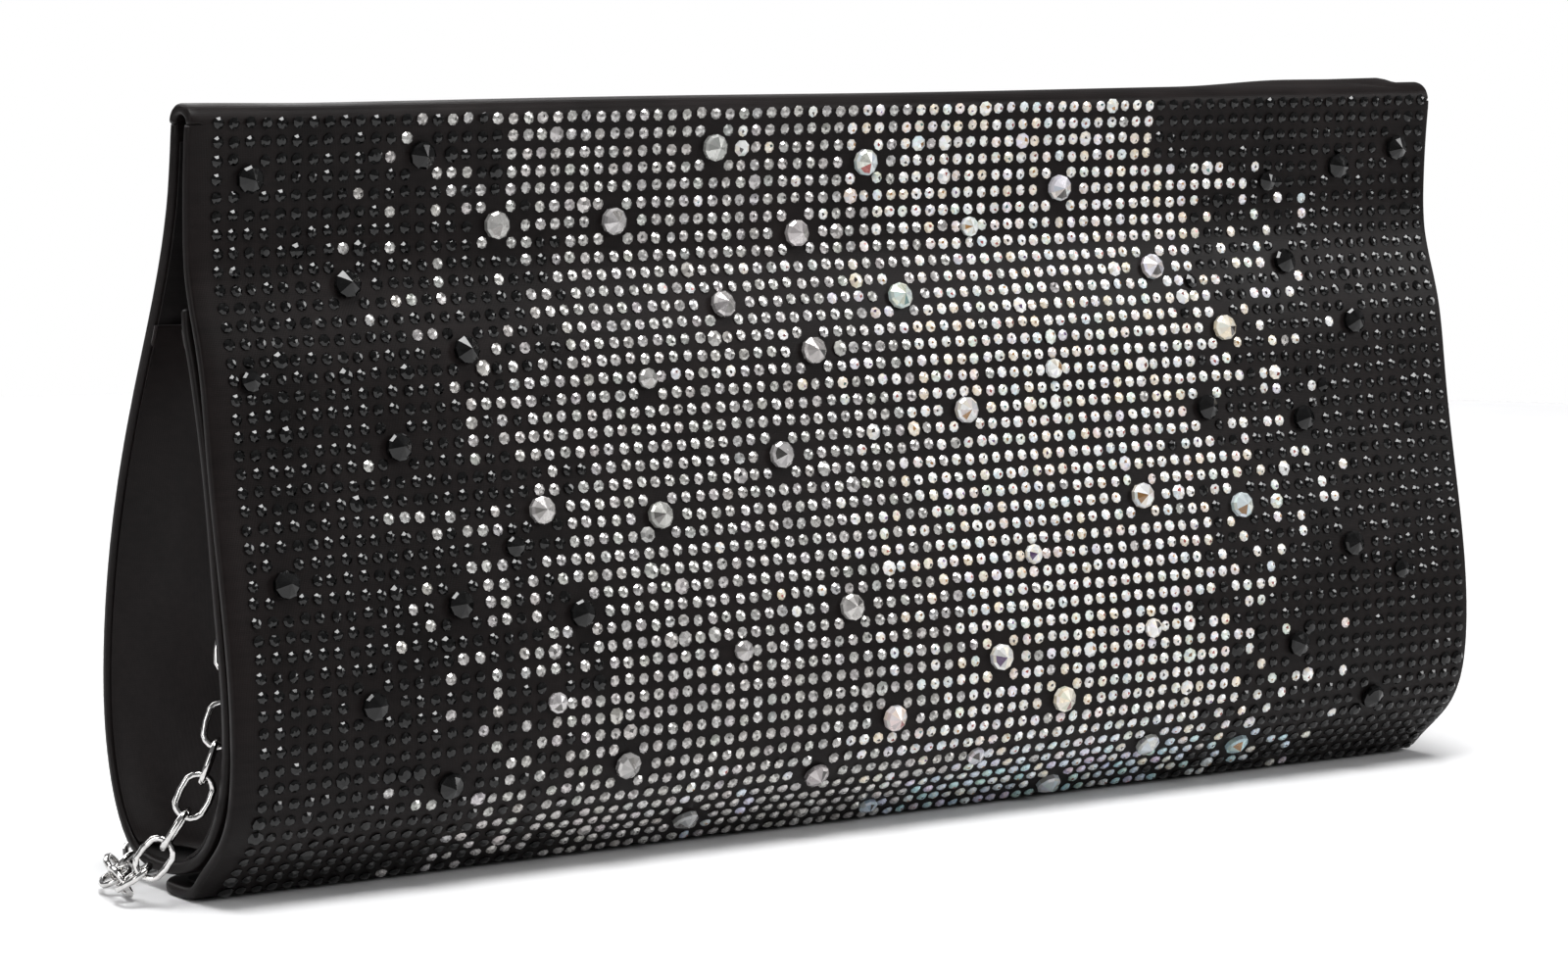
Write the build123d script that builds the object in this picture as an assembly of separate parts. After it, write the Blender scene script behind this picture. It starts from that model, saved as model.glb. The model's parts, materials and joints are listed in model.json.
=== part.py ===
"""Evening bag: a satin clutch whose crystal flap hinges at the top fold and wraps under the base.

Frame: millimetres, +X along the bag, front towards -Y, +Z up. The origin is the middle of the
bag's own box, at the level of the surface that it stands on.
"""

import math
import os

from build123d import *

# ---- overall sizes -------------------------------------------------------------------------
BAG_WIDTH = 267.0          # across the flap, edge to edge
BODY_WIDTH = 266.0         # across the body's satin
BOARD_MARGIN = 1.0         # satin turned over each end of a board
HINGE_Y = -5.4             # the flap folds about a line along X through this point
HINGE_Z = 126.9
FOLD_OUTER = 3.8           # radius of the satin over the top fold

# ---- layers, from the outer satin inwards --------------------------------------------------
SATIN = 0.35
BOARD = 1.4
LINING = 0.35
SHELL = SATIN + BOARD + LINING
HINGE_GAP = 0.3            # flap to hinge fold
PANEL_JOIN = 0.2           # between neighbouring boards
BASE_STRIPS = 8            # the base board is scored, so that it bends round the foot

# ---- outer outlines in the Y-Z plane -------------------------------------------------------
BACK_TOP = (HINGE_Y + FOLD_OUTER, HINGE_Z)
BODY_OUTLINE = [
    BACK_TOP, (-0.2, 115.4), (5.0, 99.2), (14.0, 79.2), (21.2, 58.9), (24.9, 37.0), (23.6, 19.0),
    (14.6, 4.6), (4.0, 2.9), (-10.2, 7.2), (-17.6, 18.0), (-19.2, 28.5), (-16.5, 50.1),
    (-12.3, 75.0), (-6.9, 92.3), (-6.6, 97.0),
]
FLAP_TOP = (HINGE_Y - FOLD_OUTER, HINGE_Z - HINGE_GAP)
FLAP_OUTLINE = [
    FLAP_TOP, (-8.2, 111.0), (-8.8, 101.6), (-12.4, 90.8), (-15.3, 75.3), (-20.0, 50.5),
    (-22.8, 26.0), (-18.4, 10.5), (-9.5, 2.3), (-3.0, 0.0),
]
FLAP_TIP_Y = 7.5           # the flap ends under the base, lying flat
TIP_CORNER = 8.0           # radius of the flap's two corners under the base

# ---- crystals ------------------------------------------------------------------------------
COLUMN_PITCH = 2.912
ROW_PITCH = 3.0
STONES_ABOVE = 2.0         # the stones start this far above the flap's satin, over the fold
FIRST_ROW = 1.8            # along the flap from where the stones start
LAST_COLUMN = 44           # columns run from -LAST_COLUMN to LAST_COLUMN
LAST_ROW = 44
SHEET_END_ROW = LAST_ROW + 0.15   # the sheet of small stones ends here
MESH_PROUD = 1.0           # the small stones stand this far off the satin
LARGE_RADIUS = 2.35
MEDIUM_RADIUS = 1.8
CRYSTAL_GIRDLE = 0.8       # height of the straight edge below the facets
CRYSTAL_POINT = 1.3        # from the girdle to the point
CRYSTAL_SEAT = 0.3         # the foil back sits this far off the satin
POCKET_ROOM = 0.15         # around a large stone, in the mesh

# Pattern chart of the large stones: row, then the columns that hold one.
SILVER_CHART = {
    2: [-11], 6: [-26, -18], 7: [-5], 11: [-11], 14: [-5], 20: [-8], 22: [-25], 23: [-17],
    29: [-4], 37: [-20], 39: [-6], 42: [-14],
}
SILVER_SMALLER_CHART = {15: [-17], 31: [-12], 33: [-25]}
AURORA_CHART = {
    3: [0], 5: [15], 10: [22], 11: [2], 14: [27], 18: [6], 24: [19], 25: [27], 33: [7],
    36: [-1, 12], 40: [20], 41: [28], 43: [14],
}
AURORA_SMALLER_CHART = {7: [8], 16: [13], 27: [10], 32: [19], 39: [6], 43: [0]}
JET_CHART = {
    2: [-31], 3: [-42, 43], 4: [38], 9: [-36], 10: [33], 13: [-29], 14: [38], 18: [-34],
    19: [25], 20: [33], 25: [-42], 27: [-31], 28: [-23, 36], 32: [-37], 34: [31],
    37: [-32], 38: [38],
}
JET_SMALLER_CHART = {5: [32], 14: [-43], 24: [-27], 30: [40]}

# ---- gussets -------------------------------------------------------------------------------
GUSSET_EDGE = 132.5        # X of the gusset's sewn edges
GUSSET_HEM_Z = 93.5
GUSSET_WALL = 0.6
GUSSET_GAP = 0.3           # to the lining on each side
GUSSET_HEIGHTS = [6.0, 8.5, 12.0, 18.0, 26.0, 36.0, 50.0, 64.0, 76.0, 85.0, GUSSET_HEM_Z]
FOLD_DEPTH_TOP = 20.0
FOLD_DEPTH_FOOT = 6.0
FOLD_FROM_FRONT = 2.0      # the fold line lies this far behind the front lining
BELLY_SHARE = 0.25         # the cloth billows between its back edge and the fold: how far
BELLY_REACH = 0.6          # the billow is from the back, and how deep, as shares

# ---- magnetic snap -------------------------------------------------------------------------
SNAP_Z = 31.0
SNAP_RADIUS = 6.5
SNAP_PROUD = 0.3           # each half stands this far off its own panel
SNAP_WASHER_RADIUS = 7.5
SNAP_WASHER = 0.4
STUD_FLANGE = 0.95
STUD_ROOT_RADIUS = 2.6
STUD_TIP_RADIUS = 2.2
STUD_LENGTH = 1.5
SOCKET_RADIUS = 3.6
SNAP_FIT = 0.05

# ---- slip pocket on the back lining --------------------------------------------------------
POCKET_WIDTH = 150.0
POCKET_CLOTH = 0.5
POCKET_FROM_Z = 26.0
POCKET_TO_Z = 80.0

# ---- chain ends ----------------------------------------------------------------------------
RING_X = 106.0             # middle of each chain ring
RING_SEAT_Z = 96.0         # height of the lining point that the ring stands off
RING_STANDOFF = 3.0
RING_WIRE = 0.8            # radius
RING_BOW = 5.2             # radius of the wire's centre line
TAB_WIDTH = 6.0
TAB_LENGTH = 12.0
TAB_LOOP_OUTER = 1.6
TAB_LOOP_INNER = 0.95
JUMP_WIRE = 0.5
JUMP_RADIUS = 2.2
JUMP_REACH = 0.8           # jump ring's centre beyond the bow wire's centre
JUMP_TURN = 160.0          # where on the bow the jump ring hangs, in degrees

# ---- chain, a limp cord of links -----------------------------------------------------------
CHAIN_DIAMETER = 5.2
LEFT_ROUTE = [
    (-115.4, 0.2, 97.4), (-120.0, -0.2, 98.8), (-124.2, 0.0, 95.4), (-125.0, 0.2, 87.5),
    (-124.6, -3.4, 74.0), (-125.0, -7.4, 60.0), (-126.5, -10.0, 46.5), (-128.8, -12.0, 34.5),
    (-131.8, -12.8, 25.5), (-135.4, -12.2, 17.8), (-139.2, -10.2, 10.8), (-142.4, -6.4, 5.0),
    (-142.8, -0.2, 2.8), (-140.4, 6.2, 2.7), (-137.4, 12.6, 2.7), (-132.4, 19.0, 2.7),
    (-123.5, 23.6, 2.7), (-109.0, 27.2, 2.7), (-93.0, 30.0, 2.7), (-76.0, 32.2, 2.8),
    (-60.0, 33.1, 3.1), (-46.0, 33.2, 3.2),
]
RIGHT_ROUTE = [
    (46.0, 33.2, 13.4), (62.0, 33.6, 10.6), (78.0, 35.4, 5.2), (94.0, 36.8, 2.8),
    (110.0, 34.6, 2.7), (124.0, 29.6, 2.7), (134.6, 22.6, 2.7), (140.4, 14.6, 4.0),
    (140.4, 8.4, 9.4), (136.6, 4.8, 16.4), (132.0, 2.0, 24.4), (129.0, -0.6, 34.0),
    (127.4, -2.6, 46.0), (126.0, -3.6, 60.0), (124.8, -2.8, 74.0), (125.0, 0.2, 87.5),
    (124.2, 0.0, 95.4), (120.0, -0.2, 98.8), (115.4, 0.2, 97.4),
]
HANK_CENTRE = (0.0, 50.0)
HANK_RUN = 78.0            # straight part of each turn
HANK_FOLD = 17.0           # radius of the chain's centre line at each end
HANK_TURNS = 3
TIE_THICKNESS = 0.4
TIE_WIDTH = 6.0


def outline(points, first_tangent, last_tangent):
    """A smooth edge through (y, z) points, leaving and arriving along the given directions."""
    corners = [Vector(0, y, z) for y, z in points]
    ends = [Vector(0, *first_tangent), Vector(0, *last_tangent)]
    return Spline(*corners, tangents=ends)


def level(edge, depth, samples=60):
    """The edge moved sideways by depth; a positive depth moves it towards the bag's inside."""
    moved = []
    for step in range(samples + 1):
        share = step / samples
        along = edge % share
        sideways = Vector(0, along.Z, -along.Y)
        moved.append(edge @ share + sideways * depth)
    return Spline(*moved, tangents=[edge % 0, edge % 1])


def slab(outer, inner, width):
    """The sheet between two edges in the Y-Z plane, extruded to width about the middle."""
    border = Wire([outer, Line(outer @ 1, inner @ 1), inner, Line(inner @ 0, outer @ 0)])
    return extrude(Face(border), amount=width / 2, dir=(1, 0, 0), both=True)


def share_at_height(edge, height, low, high):
    """The share of the edge, between low and high, where it passes the given height."""
    rising = (edge @ high).Z > (edge @ low).Z
    for _ in range(40):
        middle = (low + high) / 2
        if ((edge @ middle).Z < height) == rising:
            low = middle
        else:
            high = middle
    return (low + high) / 2


body_edge = outline(BODY_OUTLINE, (0.1, -1), (0, 1))
FOOT_SHARE = 0.55          # a share of the body's outline that is surely on its flat foot


def body_level(depth):
    """The body's outline moved inwards by depth."""
    return level(body_edge, depth, 90)


flap_front = outline(FLAP_OUTLINE, (0.12, -1), (1, 0))
stones_start = flap_front @ 0 - (flap_front % 0) * STONES_ABOVE
stones_front = Wire([Line(stones_start, flap_front @ 0), flap_front])


def flap_level(depth, along=0.0, margin=0.0):
    """The flap's outline moved inwards, from along to its tip, less a margin at the tip."""
    front = level(flap_front, -depth, 70)
    if along > 0:
        front = front.trim(along, 1)
    tip = Vector(0, FLAP_TIP_Y - margin, (front @ 1).Z)
    return Wire([front, Line(front @ 1, tip)])


def flap_slab(near, far, width, margin, corner):
    """One layer of the flap, with its two corners under the base rounded."""
    outer = flap_level(near, margin=margin)
    inner = flap_level(far, margin=margin)
    ends = [Line(outer @ 1, inner @ 1), Line(inner @ 0, outer @ 0)]
    border = Wire([*outer.edges(), *inner.edges(), *ends])
    sheet = extrude(Face(border), amount=width / 2, dir=(1, 0, 0), both=True)
    tips = sheet.edges().filter_by(Axis.Z).group_by(Axis.Y)[-1]
    return fillet(tips, corner)


def front_frame(edge, height, low, high, sign):
    """A plane on an edge at a height: local x along X, local z along the outward normal."""
    share = share_at_height(edge, height, low, high)
    along = edge % share
    outward = Vector(0, -along.Z, along.Y) * sign
    return Plane(origin=edge @ share, x_dir=(1, 0, 0), z_dir=outward)


def disc(plane, radius, start, end):
    """A disc on a plane's axis, from start to end along its normal."""
    return plane * Pos(0, 0, (start + end) / 2) * Cylinder(radius, abs(end - start))


# ---- body ----------------------------------------------------------------------------------
def body_cloth(near, far, width):
    """One U-shaped layer of the body, from the back panel's top to the front panel's."""
    return slab(body_level(near), body_level(far), width)


def body_board(start, end):
    """One stiff board of the body, between two shares of the outline."""
    outer = body_level(SATIN).trim(start, end)
    inner = body_level(SATIN + BOARD).trim(start, end)
    return slab(outer, inner, BODY_WIDTH - 2 * BOARD_MARGIN)


def base_board(start, end, gap):
    """The base board, cut into narrow strips so that it bends round the foot."""
    pitch = (end - start + gap) / BASE_STRIPS
    starts = [start + pitch * index for index in range(BASE_STRIPS)]
    return Compound([body_board(first, first + pitch - gap) for first in starts])


def slip_pocket():
    """A flat patch pocket on the back lining, sewn at its foot and ends and open at the top."""
    lining = body_level(SHELL)
    start = share_at_height(lining, POCKET_TO_Z, 0.02, FOOT_SHARE)
    end = share_at_height(lining, POCKET_FROM_Z, 0.02, FOOT_SHARE)
    outer = body_level(SHELL + 0.1).trim(start, end)
    inner = body_level(SHELL + 0.1 + POCKET_CLOTH).trim(start, end)
    return slab(outer, inner, POCKET_WIDTH)


def hinge_fold():
    """The soft satin fold over the top, a half ring about the hinge line."""
    outer = FOLD_OUTER
    inner = FOLD_OUTER - SHELL
    ring = Cylinder(outer, BODY_WIDTH) - Cylinder(inner, BODY_WIDTH)
    upper = ring & Pos(outer, 0, 0) * Box(2 * outer, 4 * outer, 2 * BODY_WIDTH)
    axis = Plane(origin=(0, HINGE_Y, HINGE_Z), x_dir=(0, 0, 1), z_dir=(1, 0, 0))
    return axis * upper


# ---- gussets -------------------------------------------------------------------------------
def meet(first, first_way, second, second_way):
    """Where two lines in a plane cross."""
    cross = first_way.X * second_way.Y - first_way.Y * second_way.X
    gap = second - first
    return first + first_way * ((gap.X * second_way.Y - gap.Y * second_way.X) / cross)


def gusset_section(height, back_y, front_y, depth):
    """The folded cloth's closed outline at one height, for the end at +X."""
    belly_y = back_y - BELLY_SHARE * (back_y - front_y)
    cloth = [
        Vector(GUSSET_EDGE, back_y - GUSSET_GAP),
        Vector(GUSSET_EDGE - BELLY_REACH * depth, belly_y),
        Vector(GUSSET_EDGE - depth, front_y + FOLD_FROM_FRONT),
        Vector(GUSSET_EDGE, front_y + GUSSET_GAP),
    ]
    ways = [(after - before).normalized() for before, after in zip(cloth, cloth[1:])]
    starts = [
        corner + Vector(-way.Y, way.X) * GUSSET_WALL for corner, way in zip(cloth, ways)
    ]
    upright = Vector(0, 1)
    recess = [meet(starts[0], ways[0], cloth[0], upright)]
    for index in range(1, len(ways)):
        recess.append(meet(starts[index - 1], ways[index - 1], starts[index], ways[index]))
    recess.append(meet(starts[-1], ways[-1], cloth[-1], upright))
    corners = cloth + recess[::-1]
    return Face(Wire.make_polygon([Vector(c.X, c.Y, height) for c in corners], close=True))


def gusset(side):
    """A gusset folded inwards between the front and back panels; side is -1 or +1 along X."""
    lining = body_level(SHELL)
    sections = []
    for height in GUSSET_HEIGHTS:
        back_y = (lining @ share_at_height(lining, height, 0.02, FOOT_SHARE)).Y
        front_y = (lining @ share_at_height(lining, height, FOOT_SHARE, 0.995)).Y
        rise = (height - GUSSET_HEIGHTS[0]) / (GUSSET_HEM_Z - GUSSET_HEIGHTS[0])
        depth = FOLD_DEPTH_FOOT + (FOLD_DEPTH_TOP - FOLD_DEPTH_FOOT) * math.sqrt(rise)
        sections.append(gusset_section(height, back_y, front_y, depth))
    cloth = loft(sections, ruled=True)
    return cloth if side > 0 else mirror(cloth, about=Plane.YZ)


# ---- magnetic snap -------------------------------------------------------------------------
def body_snap_plane():
    """Where the snap's socket sits on the body's front satin."""
    return front_frame(body_edge, SNAP_Z, FOOT_SHARE + 0.05, 0.98, 1)


def flap_snap_plane():
    """Where the snap's stud sits on the flap's lining, facing the body."""
    lining = level(flap_front, -SHELL, 70)
    return front_frame(lining, SNAP_Z, 0.05, 0.9, 1)


def snap_socket():
    """The magnetic cup set into the front board."""
    seat = body_snap_plane()
    cup = disc(seat, SNAP_RADIUS, -SATIN - BOARD + SNAP_WASHER, SNAP_PROUD)
    return cup - disc(seat, SOCKET_RADIUS, -SATIN - BOARD + SNAP_WASHER + 0.2, SNAP_PROUD + 1)


def snap_socket_washer():
    """The washer behind the front board that the cup's prongs are bent over."""
    foot = -SATIN - BOARD
    return disc(body_snap_plane(), SNAP_WASHER_RADIUS, foot + SNAP_FIT, foot + SNAP_WASHER)


def snap_stud():
    """The steel stud on the flap, which enters the cup."""
    seat = flap_snap_plane()
    flange = disc(seat, SNAP_RADIUS, -STUD_FLANGE + SNAP_PROUD, SNAP_PROUD)
    boss = Cone(STUD_ROOT_RADIUS, STUD_TIP_RADIUS, STUD_LENGTH)
    return flange + seat * Pos(0, 0, SNAP_PROUD + STUD_LENGTH / 2) * boss


def snap_stud_washer():
    """The washer inside the flap, on the stud's far side."""
    foot = -STUD_FLANGE + SNAP_PROUD
    return disc(flap_snap_plane(), SNAP_WASHER_RADIUS, foot - SNAP_WASHER, foot)


def socket_room():
    """What the cup and its washer take out of the body's layers."""
    seat = body_snap_plane()
    cup = disc(seat, SNAP_RADIUS + SNAP_FIT, -SATIN - BOARD, SNAP_PROUD + 1)
    foot = -SATIN - BOARD
    return cup + disc(seat, SNAP_WASHER_RADIUS + SNAP_FIT, foot - 0.15, foot + SNAP_WASHER)


def stud_room():
    """What the stud's flange and washer take out of the flap's layers."""
    seat = flap_snap_plane()
    foot = -STUD_FLANGE + SNAP_PROUD
    flange = disc(seat, SNAP_RADIUS + SNAP_FIT, foot, SNAP_PROUD + 1)
    return flange + disc(seat, SNAP_WASHER_RADIUS + SNAP_FIT, foot - SNAP_WASHER - SNAP_FIT, foot)


# ---- crystals ------------------------------------------------------------------------------
def crystal_seat(row, column):
    """The plane on the flap's satin under the stone at a row and column."""
    run = FIRST_ROW + row * ROW_PITCH
    place = stones_front.position_at(run, position_mode=PositionMode.LENGTH)
    along = stones_front.tangent_at(run, position_mode=PositionMode.LENGTH)
    outward = Vector(0, along.Z, -along.Y)
    middle = Vector(column * COLUMN_PITCH, place.Y, place.Z)
    return Plane(origin=middle, x_dir=(1, 0, 0), z_dir=outward)


def crystals(chart, smaller_chart):
    """One colour's large and medium pointed stones, as separate solids."""
    stones = []
    for radius, places in ((LARGE_RADIUS, chart), (MEDIUM_RADIUS, smaller_chart)):
        point = CRYSTAL_POINT * radius / LARGE_RADIUS
        for row, columns in places.items():
            for column in columns:
                seat = crystal_seat(row, column)
                girdle = disc(seat, radius, CRYSTAL_SEAT, CRYSTAL_SEAT + CRYSTAL_GIRDLE)
                top = Cone(radius, 0.4 * radius, point)
                stones.append(
                    girdle + seat * Pos(0, 0, CRYSTAL_SEAT + CRYSTAL_GIRDLE + point / 2) * top
                )
    return stones


def crystal_mesh(large):
    """The sheet of small stones on the flap, with room left for the large ones."""
    end = share_at_height(stones_front, crystal_seat(SHEET_END_ROW, 0).origin.Z, 0, 1)
    inner = level(stones_front, SNAP_FIT, 70).trim(0, end)
    outer = level(stones_front, MESH_PROUD, 70).trim(0, end)
    width = 2 * (LAST_COLUMN + 0.5) * COLUMN_PITCH
    sheet = slab(inner, outer, width)
    pockets = []
    for radius, charts in large:
        for chart in charts:
            for row, columns in chart.items():
                for column in columns:
                    seat = crystal_seat(row, column)
                    pockets.append(disc(seat, radius + POCKET_ROOM, -1, MESH_PROUD + 1))
    return sheet - pockets


# ---- chain rings ---------------------------------------------------------------------------
def ring_plane(side):
    """Local x along X, local y up the back lining, local z off it into the bag."""
    lining = body_level(SHELL)
    share = share_at_height(lining, RING_SEAT_Z, 0.02, FOOT_SHARE)
    down = lining % share
    inward = Vector(0, down.Z, -down.Y)
    return Plane(origin=lining @ share + Vector(side * RING_X, 0, 0), x_dir=(1, 0, 0), z_dir=inward)


def chain_tab(side):
    """A satin loop sewn to the back lining, folded round the ring's straight bar."""
    seat = ring_plane(side)
    strip = Polygon(
        (-TAB_LENGTH, 0.1), (-TAB_LENGTH, 0.9), (-TAB_LOOP_OUTER, RING_STANDOFF + 0.6),
        (-0.4, RING_STANDOFF - TAB_LOOP_OUTER), align=None,
    )
    loop = Pos(0, RING_STANDOFF) * Circle(TAB_LOOP_OUTER)
    hole = Pos(0, RING_STANDOFF) * Circle(TAB_LOOP_INNER)
    profile = make_hull((strip + loop).edges()) - hole
    sideways = Plane(origin=(0, 0, 0), x_dir=(0, 1, 0), z_dir=(1, 0, 0))
    return seat * extrude(sideways * profile, amount=TAB_WIDTH / 2, both=True)


def chain_ring(side):
    """A D-shaped wire ring whose straight bar lies in the tab."""
    bow = Torus(RING_BOW, RING_WIRE) & Pos(0, RING_BOW, 0) * Box(4 * RING_BOW, 2 * RING_BOW, 4)
    bar = Rot(0, 90, 0) * Cylinder(RING_WIRE, 2 * RING_BOW)
    ends = [Pos(x, 0, 0) * Sphere(RING_WIRE) for x in (-RING_BOW, RING_BOW)]
    return ring_plane(side) * Pos(0, 0, RING_STANDOFF) * (bow + bar + ends)


def jump_ring(side):
    """The round ring that joins the chain's last link to the chain ring."""
    turn = math.radians(JUMP_TURN if side < 0 else 180.0 - JUMP_TURN)
    outward = Vector(math.cos(turn), math.sin(turn), 0)
    middle = outward * (RING_BOW + JUMP_REACH)
    across = Vector(-math.sin(turn), math.cos(turn), 0)
    place = Plane(origin=middle, x_dir=outward, z_dir=across)
    wire_ring = place * Torus(JUMP_RADIUS, JUMP_WIRE)
    return ring_plane(side) * Pos(0, 0, RING_STANDOFF) * wire_ring


# ---- chain ---------------------------------------------------------------------------------
def corner_radii(route):
    """At each corner, the largest arc that 0.45 of its shorter run allows."""
    radii = []
    for before, here, after in zip(route, route[1:], route[2:]):
        run_in = Vector(*here) - Vector(*before)
        run_out = Vector(*after) - Vector(*here)
        half_turn = math.radians(run_in.get_angle(run_out)) / 2
        radii.append(0.45 * min(run_in.length, run_out.length) / math.tan(half_turn))
    return radii


def chain_tube(name, route):
    """The chain's outer shape along one route: straight runs joined by tangent arcs."""
    radii = corner_radii(route)
    path = FilletPolyline(*route, radius=radii)
    tube = sweep(Plane(origin=path @ 0, z_dir=path % 0) * Circle(CHAIN_DIAMETER / 2), path)
    section = math.pi * CHAIN_DIAMETER ** 2 / 4
    print(name, "length", round(path.length, 1), "volume share",
          round(tube.volume / (section * path.length), 3))
    print(name, "radii", [round(r, 1) for r in radii])
    return tube


def chain_hank():
    """The outer shape of the put-away chain: a tied stack of long narrow turns."""
    length = HANK_RUN + 2 * HANK_FOLD + CHAIN_DIAMETER
    width = 2 * HANK_FOLD + CHAIN_DIAMETER
    height = HANK_TURNS * CHAIN_DIAMETER
    stack = extrude(SlotOverall(length, width), amount=height)
    return Pos(*HANK_CENTRE, TIE_THICKNESS) * stack


def hank_tie():
    """The band round the middle of the hank."""
    width = 2 * HANK_FOLD + CHAIN_DIAMETER
    height = HANK_TURNS * CHAIN_DIAMETER
    band = Box(TIE_WIDTH, width + 2 * TIE_THICKNESS, height + 2 * TIE_THICKNESS)
    band -= Box(TIE_WIDTH + 1, width, height)
    return Pos(*HANK_CENTRE, TIE_THICKNESS + height / 2) * band


def build():
    """Every node of the bag, by name."""
    back_end = share_at_height(body_edge, 14.0, 0.02, FOOT_SHARE)
    front_start = share_at_height(body_edge, 13.0, FOOT_SHARE, 0.98)
    step = PANEL_JOIN / body_edge.length
    charts = [
        (LARGE_RADIUS, [SILVER_CHART, AURORA_CHART, JET_CHART]),
        (MEDIUM_RADIUS, [SILVER_SMALLER_CHART, AURORA_SMALLER_CHART, JET_SMALLER_CHART]),
    ]
    flap_board_width = BAG_WIDTH - 2 * BOARD_MARGIN
    nodes = {
        "body_satin": body_cloth(0, SATIN, BODY_WIDTH) - socket_room(),
        "back_board": body_board(0.004, back_end),
        "base_board": base_board(back_end + step, front_start, step),
        "front_board": body_board(front_start + step, 0.997) - socket_room(),
        "body_lining": body_cloth(SATIN + BOARD, SHELL, BODY_WIDTH) - socket_room(),
        "slip_pocket": slip_pocket(),
        "hinge_fold": hinge_fold(),
        "flap_satin": flap_slab(0, SATIN, BAG_WIDTH, 0, TIP_CORNER),
        "flap_board": flap_slab(SATIN, SATIN + BOARD, flap_board_width, BOARD_MARGIN, TIP_CORNER)
        - stud_room(),
        "flap_lining": flap_slab(SATIN + BOARD, SHELL, BAG_WIDTH - BOARD_MARGIN, 0.5, TIP_CORNER)
        - stud_room(),
        "snap_socket": snap_socket(),
        "snap_socket_washer": snap_socket_washer(),
        "snap_stud": snap_stud(),
        "snap_stud_washer": snap_stud_washer(),
        "crystal_mesh": crystal_mesh(charts),
        "silver_crystals": Compound(crystals(SILVER_CHART, SILVER_SMALLER_CHART)),
        "aurora_crystals": Compound(crystals(AURORA_CHART, AURORA_SMALLER_CHART)),
        "jet_crystals": Compound(crystals(JET_CHART, JET_SMALLER_CHART)),
        "chain_left": chain_tube("chain_left", LEFT_ROUTE),
        "chain_right": chain_tube("chain_right", RIGHT_ROUTE),
        "chain_hank": chain_hank(),
        "hank_tie": hank_tie(),
    }
    for side, word in ((-1, "left"), (1, "right")):
        nodes[f"{word}_gusset"] = gusset(side)
        nodes[f"{word}_chain_tab"] = chain_tab(side)
        nodes[f"{word}_chain_ring"] = chain_ring(side)
        nodes[f"{word}_jump_ring"] = jump_ring(side)
    return nodes


def main():
    """Builds every node and writes it to its own file."""
    os.makedirs("parts", exist_ok=True)
    for name, shape in build().items():
        export_step(shape, f"parts/{name}.step")


main()
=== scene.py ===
"""Evening bag: satin, lining, crystals, gussets and a link chain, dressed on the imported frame.

Everything is in metres, in the frame's own axes: +X along the bag, front towards -Y, +Z up.
"""

import json
import logging
import math
from dataclasses import dataclass
from enum import Enum
from typing import Callable, Sequence

import bmesh
import bpy
import numpy as np
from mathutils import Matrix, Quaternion, Vector


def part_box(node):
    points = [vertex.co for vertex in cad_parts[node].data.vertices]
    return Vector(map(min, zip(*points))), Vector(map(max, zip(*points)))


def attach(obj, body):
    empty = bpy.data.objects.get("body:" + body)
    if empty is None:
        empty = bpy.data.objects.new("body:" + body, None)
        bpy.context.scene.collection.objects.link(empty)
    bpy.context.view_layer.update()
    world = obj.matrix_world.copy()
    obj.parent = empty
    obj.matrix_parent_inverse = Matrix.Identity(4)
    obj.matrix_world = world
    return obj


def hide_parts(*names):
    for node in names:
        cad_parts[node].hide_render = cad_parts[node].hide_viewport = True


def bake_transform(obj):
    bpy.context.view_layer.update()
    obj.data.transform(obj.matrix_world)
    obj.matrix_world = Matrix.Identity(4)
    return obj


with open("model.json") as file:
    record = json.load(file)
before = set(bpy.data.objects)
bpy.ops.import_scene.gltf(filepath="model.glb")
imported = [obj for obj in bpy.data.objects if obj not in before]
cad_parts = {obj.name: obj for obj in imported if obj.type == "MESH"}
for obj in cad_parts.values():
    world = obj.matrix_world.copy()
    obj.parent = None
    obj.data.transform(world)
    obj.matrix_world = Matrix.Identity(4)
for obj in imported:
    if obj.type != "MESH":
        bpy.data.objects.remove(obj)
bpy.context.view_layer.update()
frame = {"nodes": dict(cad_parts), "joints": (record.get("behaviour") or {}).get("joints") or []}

LOG = logging.getLogger("evening_bag")
MM = 0.001
Array = np.ndarray
Piece = bpy.types.Object
Socket = bpy.types.NodeSocket


class Body(Enum):
    """The bodies that pieces ride on."""

    BAG = "bag_body"
    FLAP = "flap"


class Slot(Enum):
    """The record's material slots."""

    SATIN = "black_satin"
    LINING = "lining_satin"
    BOARD = "stiff_board"
    SNAP = "snap_metal"
    CHAIN = "chain_silver"
    SMALL = "small_crystal"
    SILVER = "silver_crystal"
    AURORA = "aurora_crystal"
    JET = "jet_crystal"
    RIBBON = "tie_ribbon"


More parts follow.
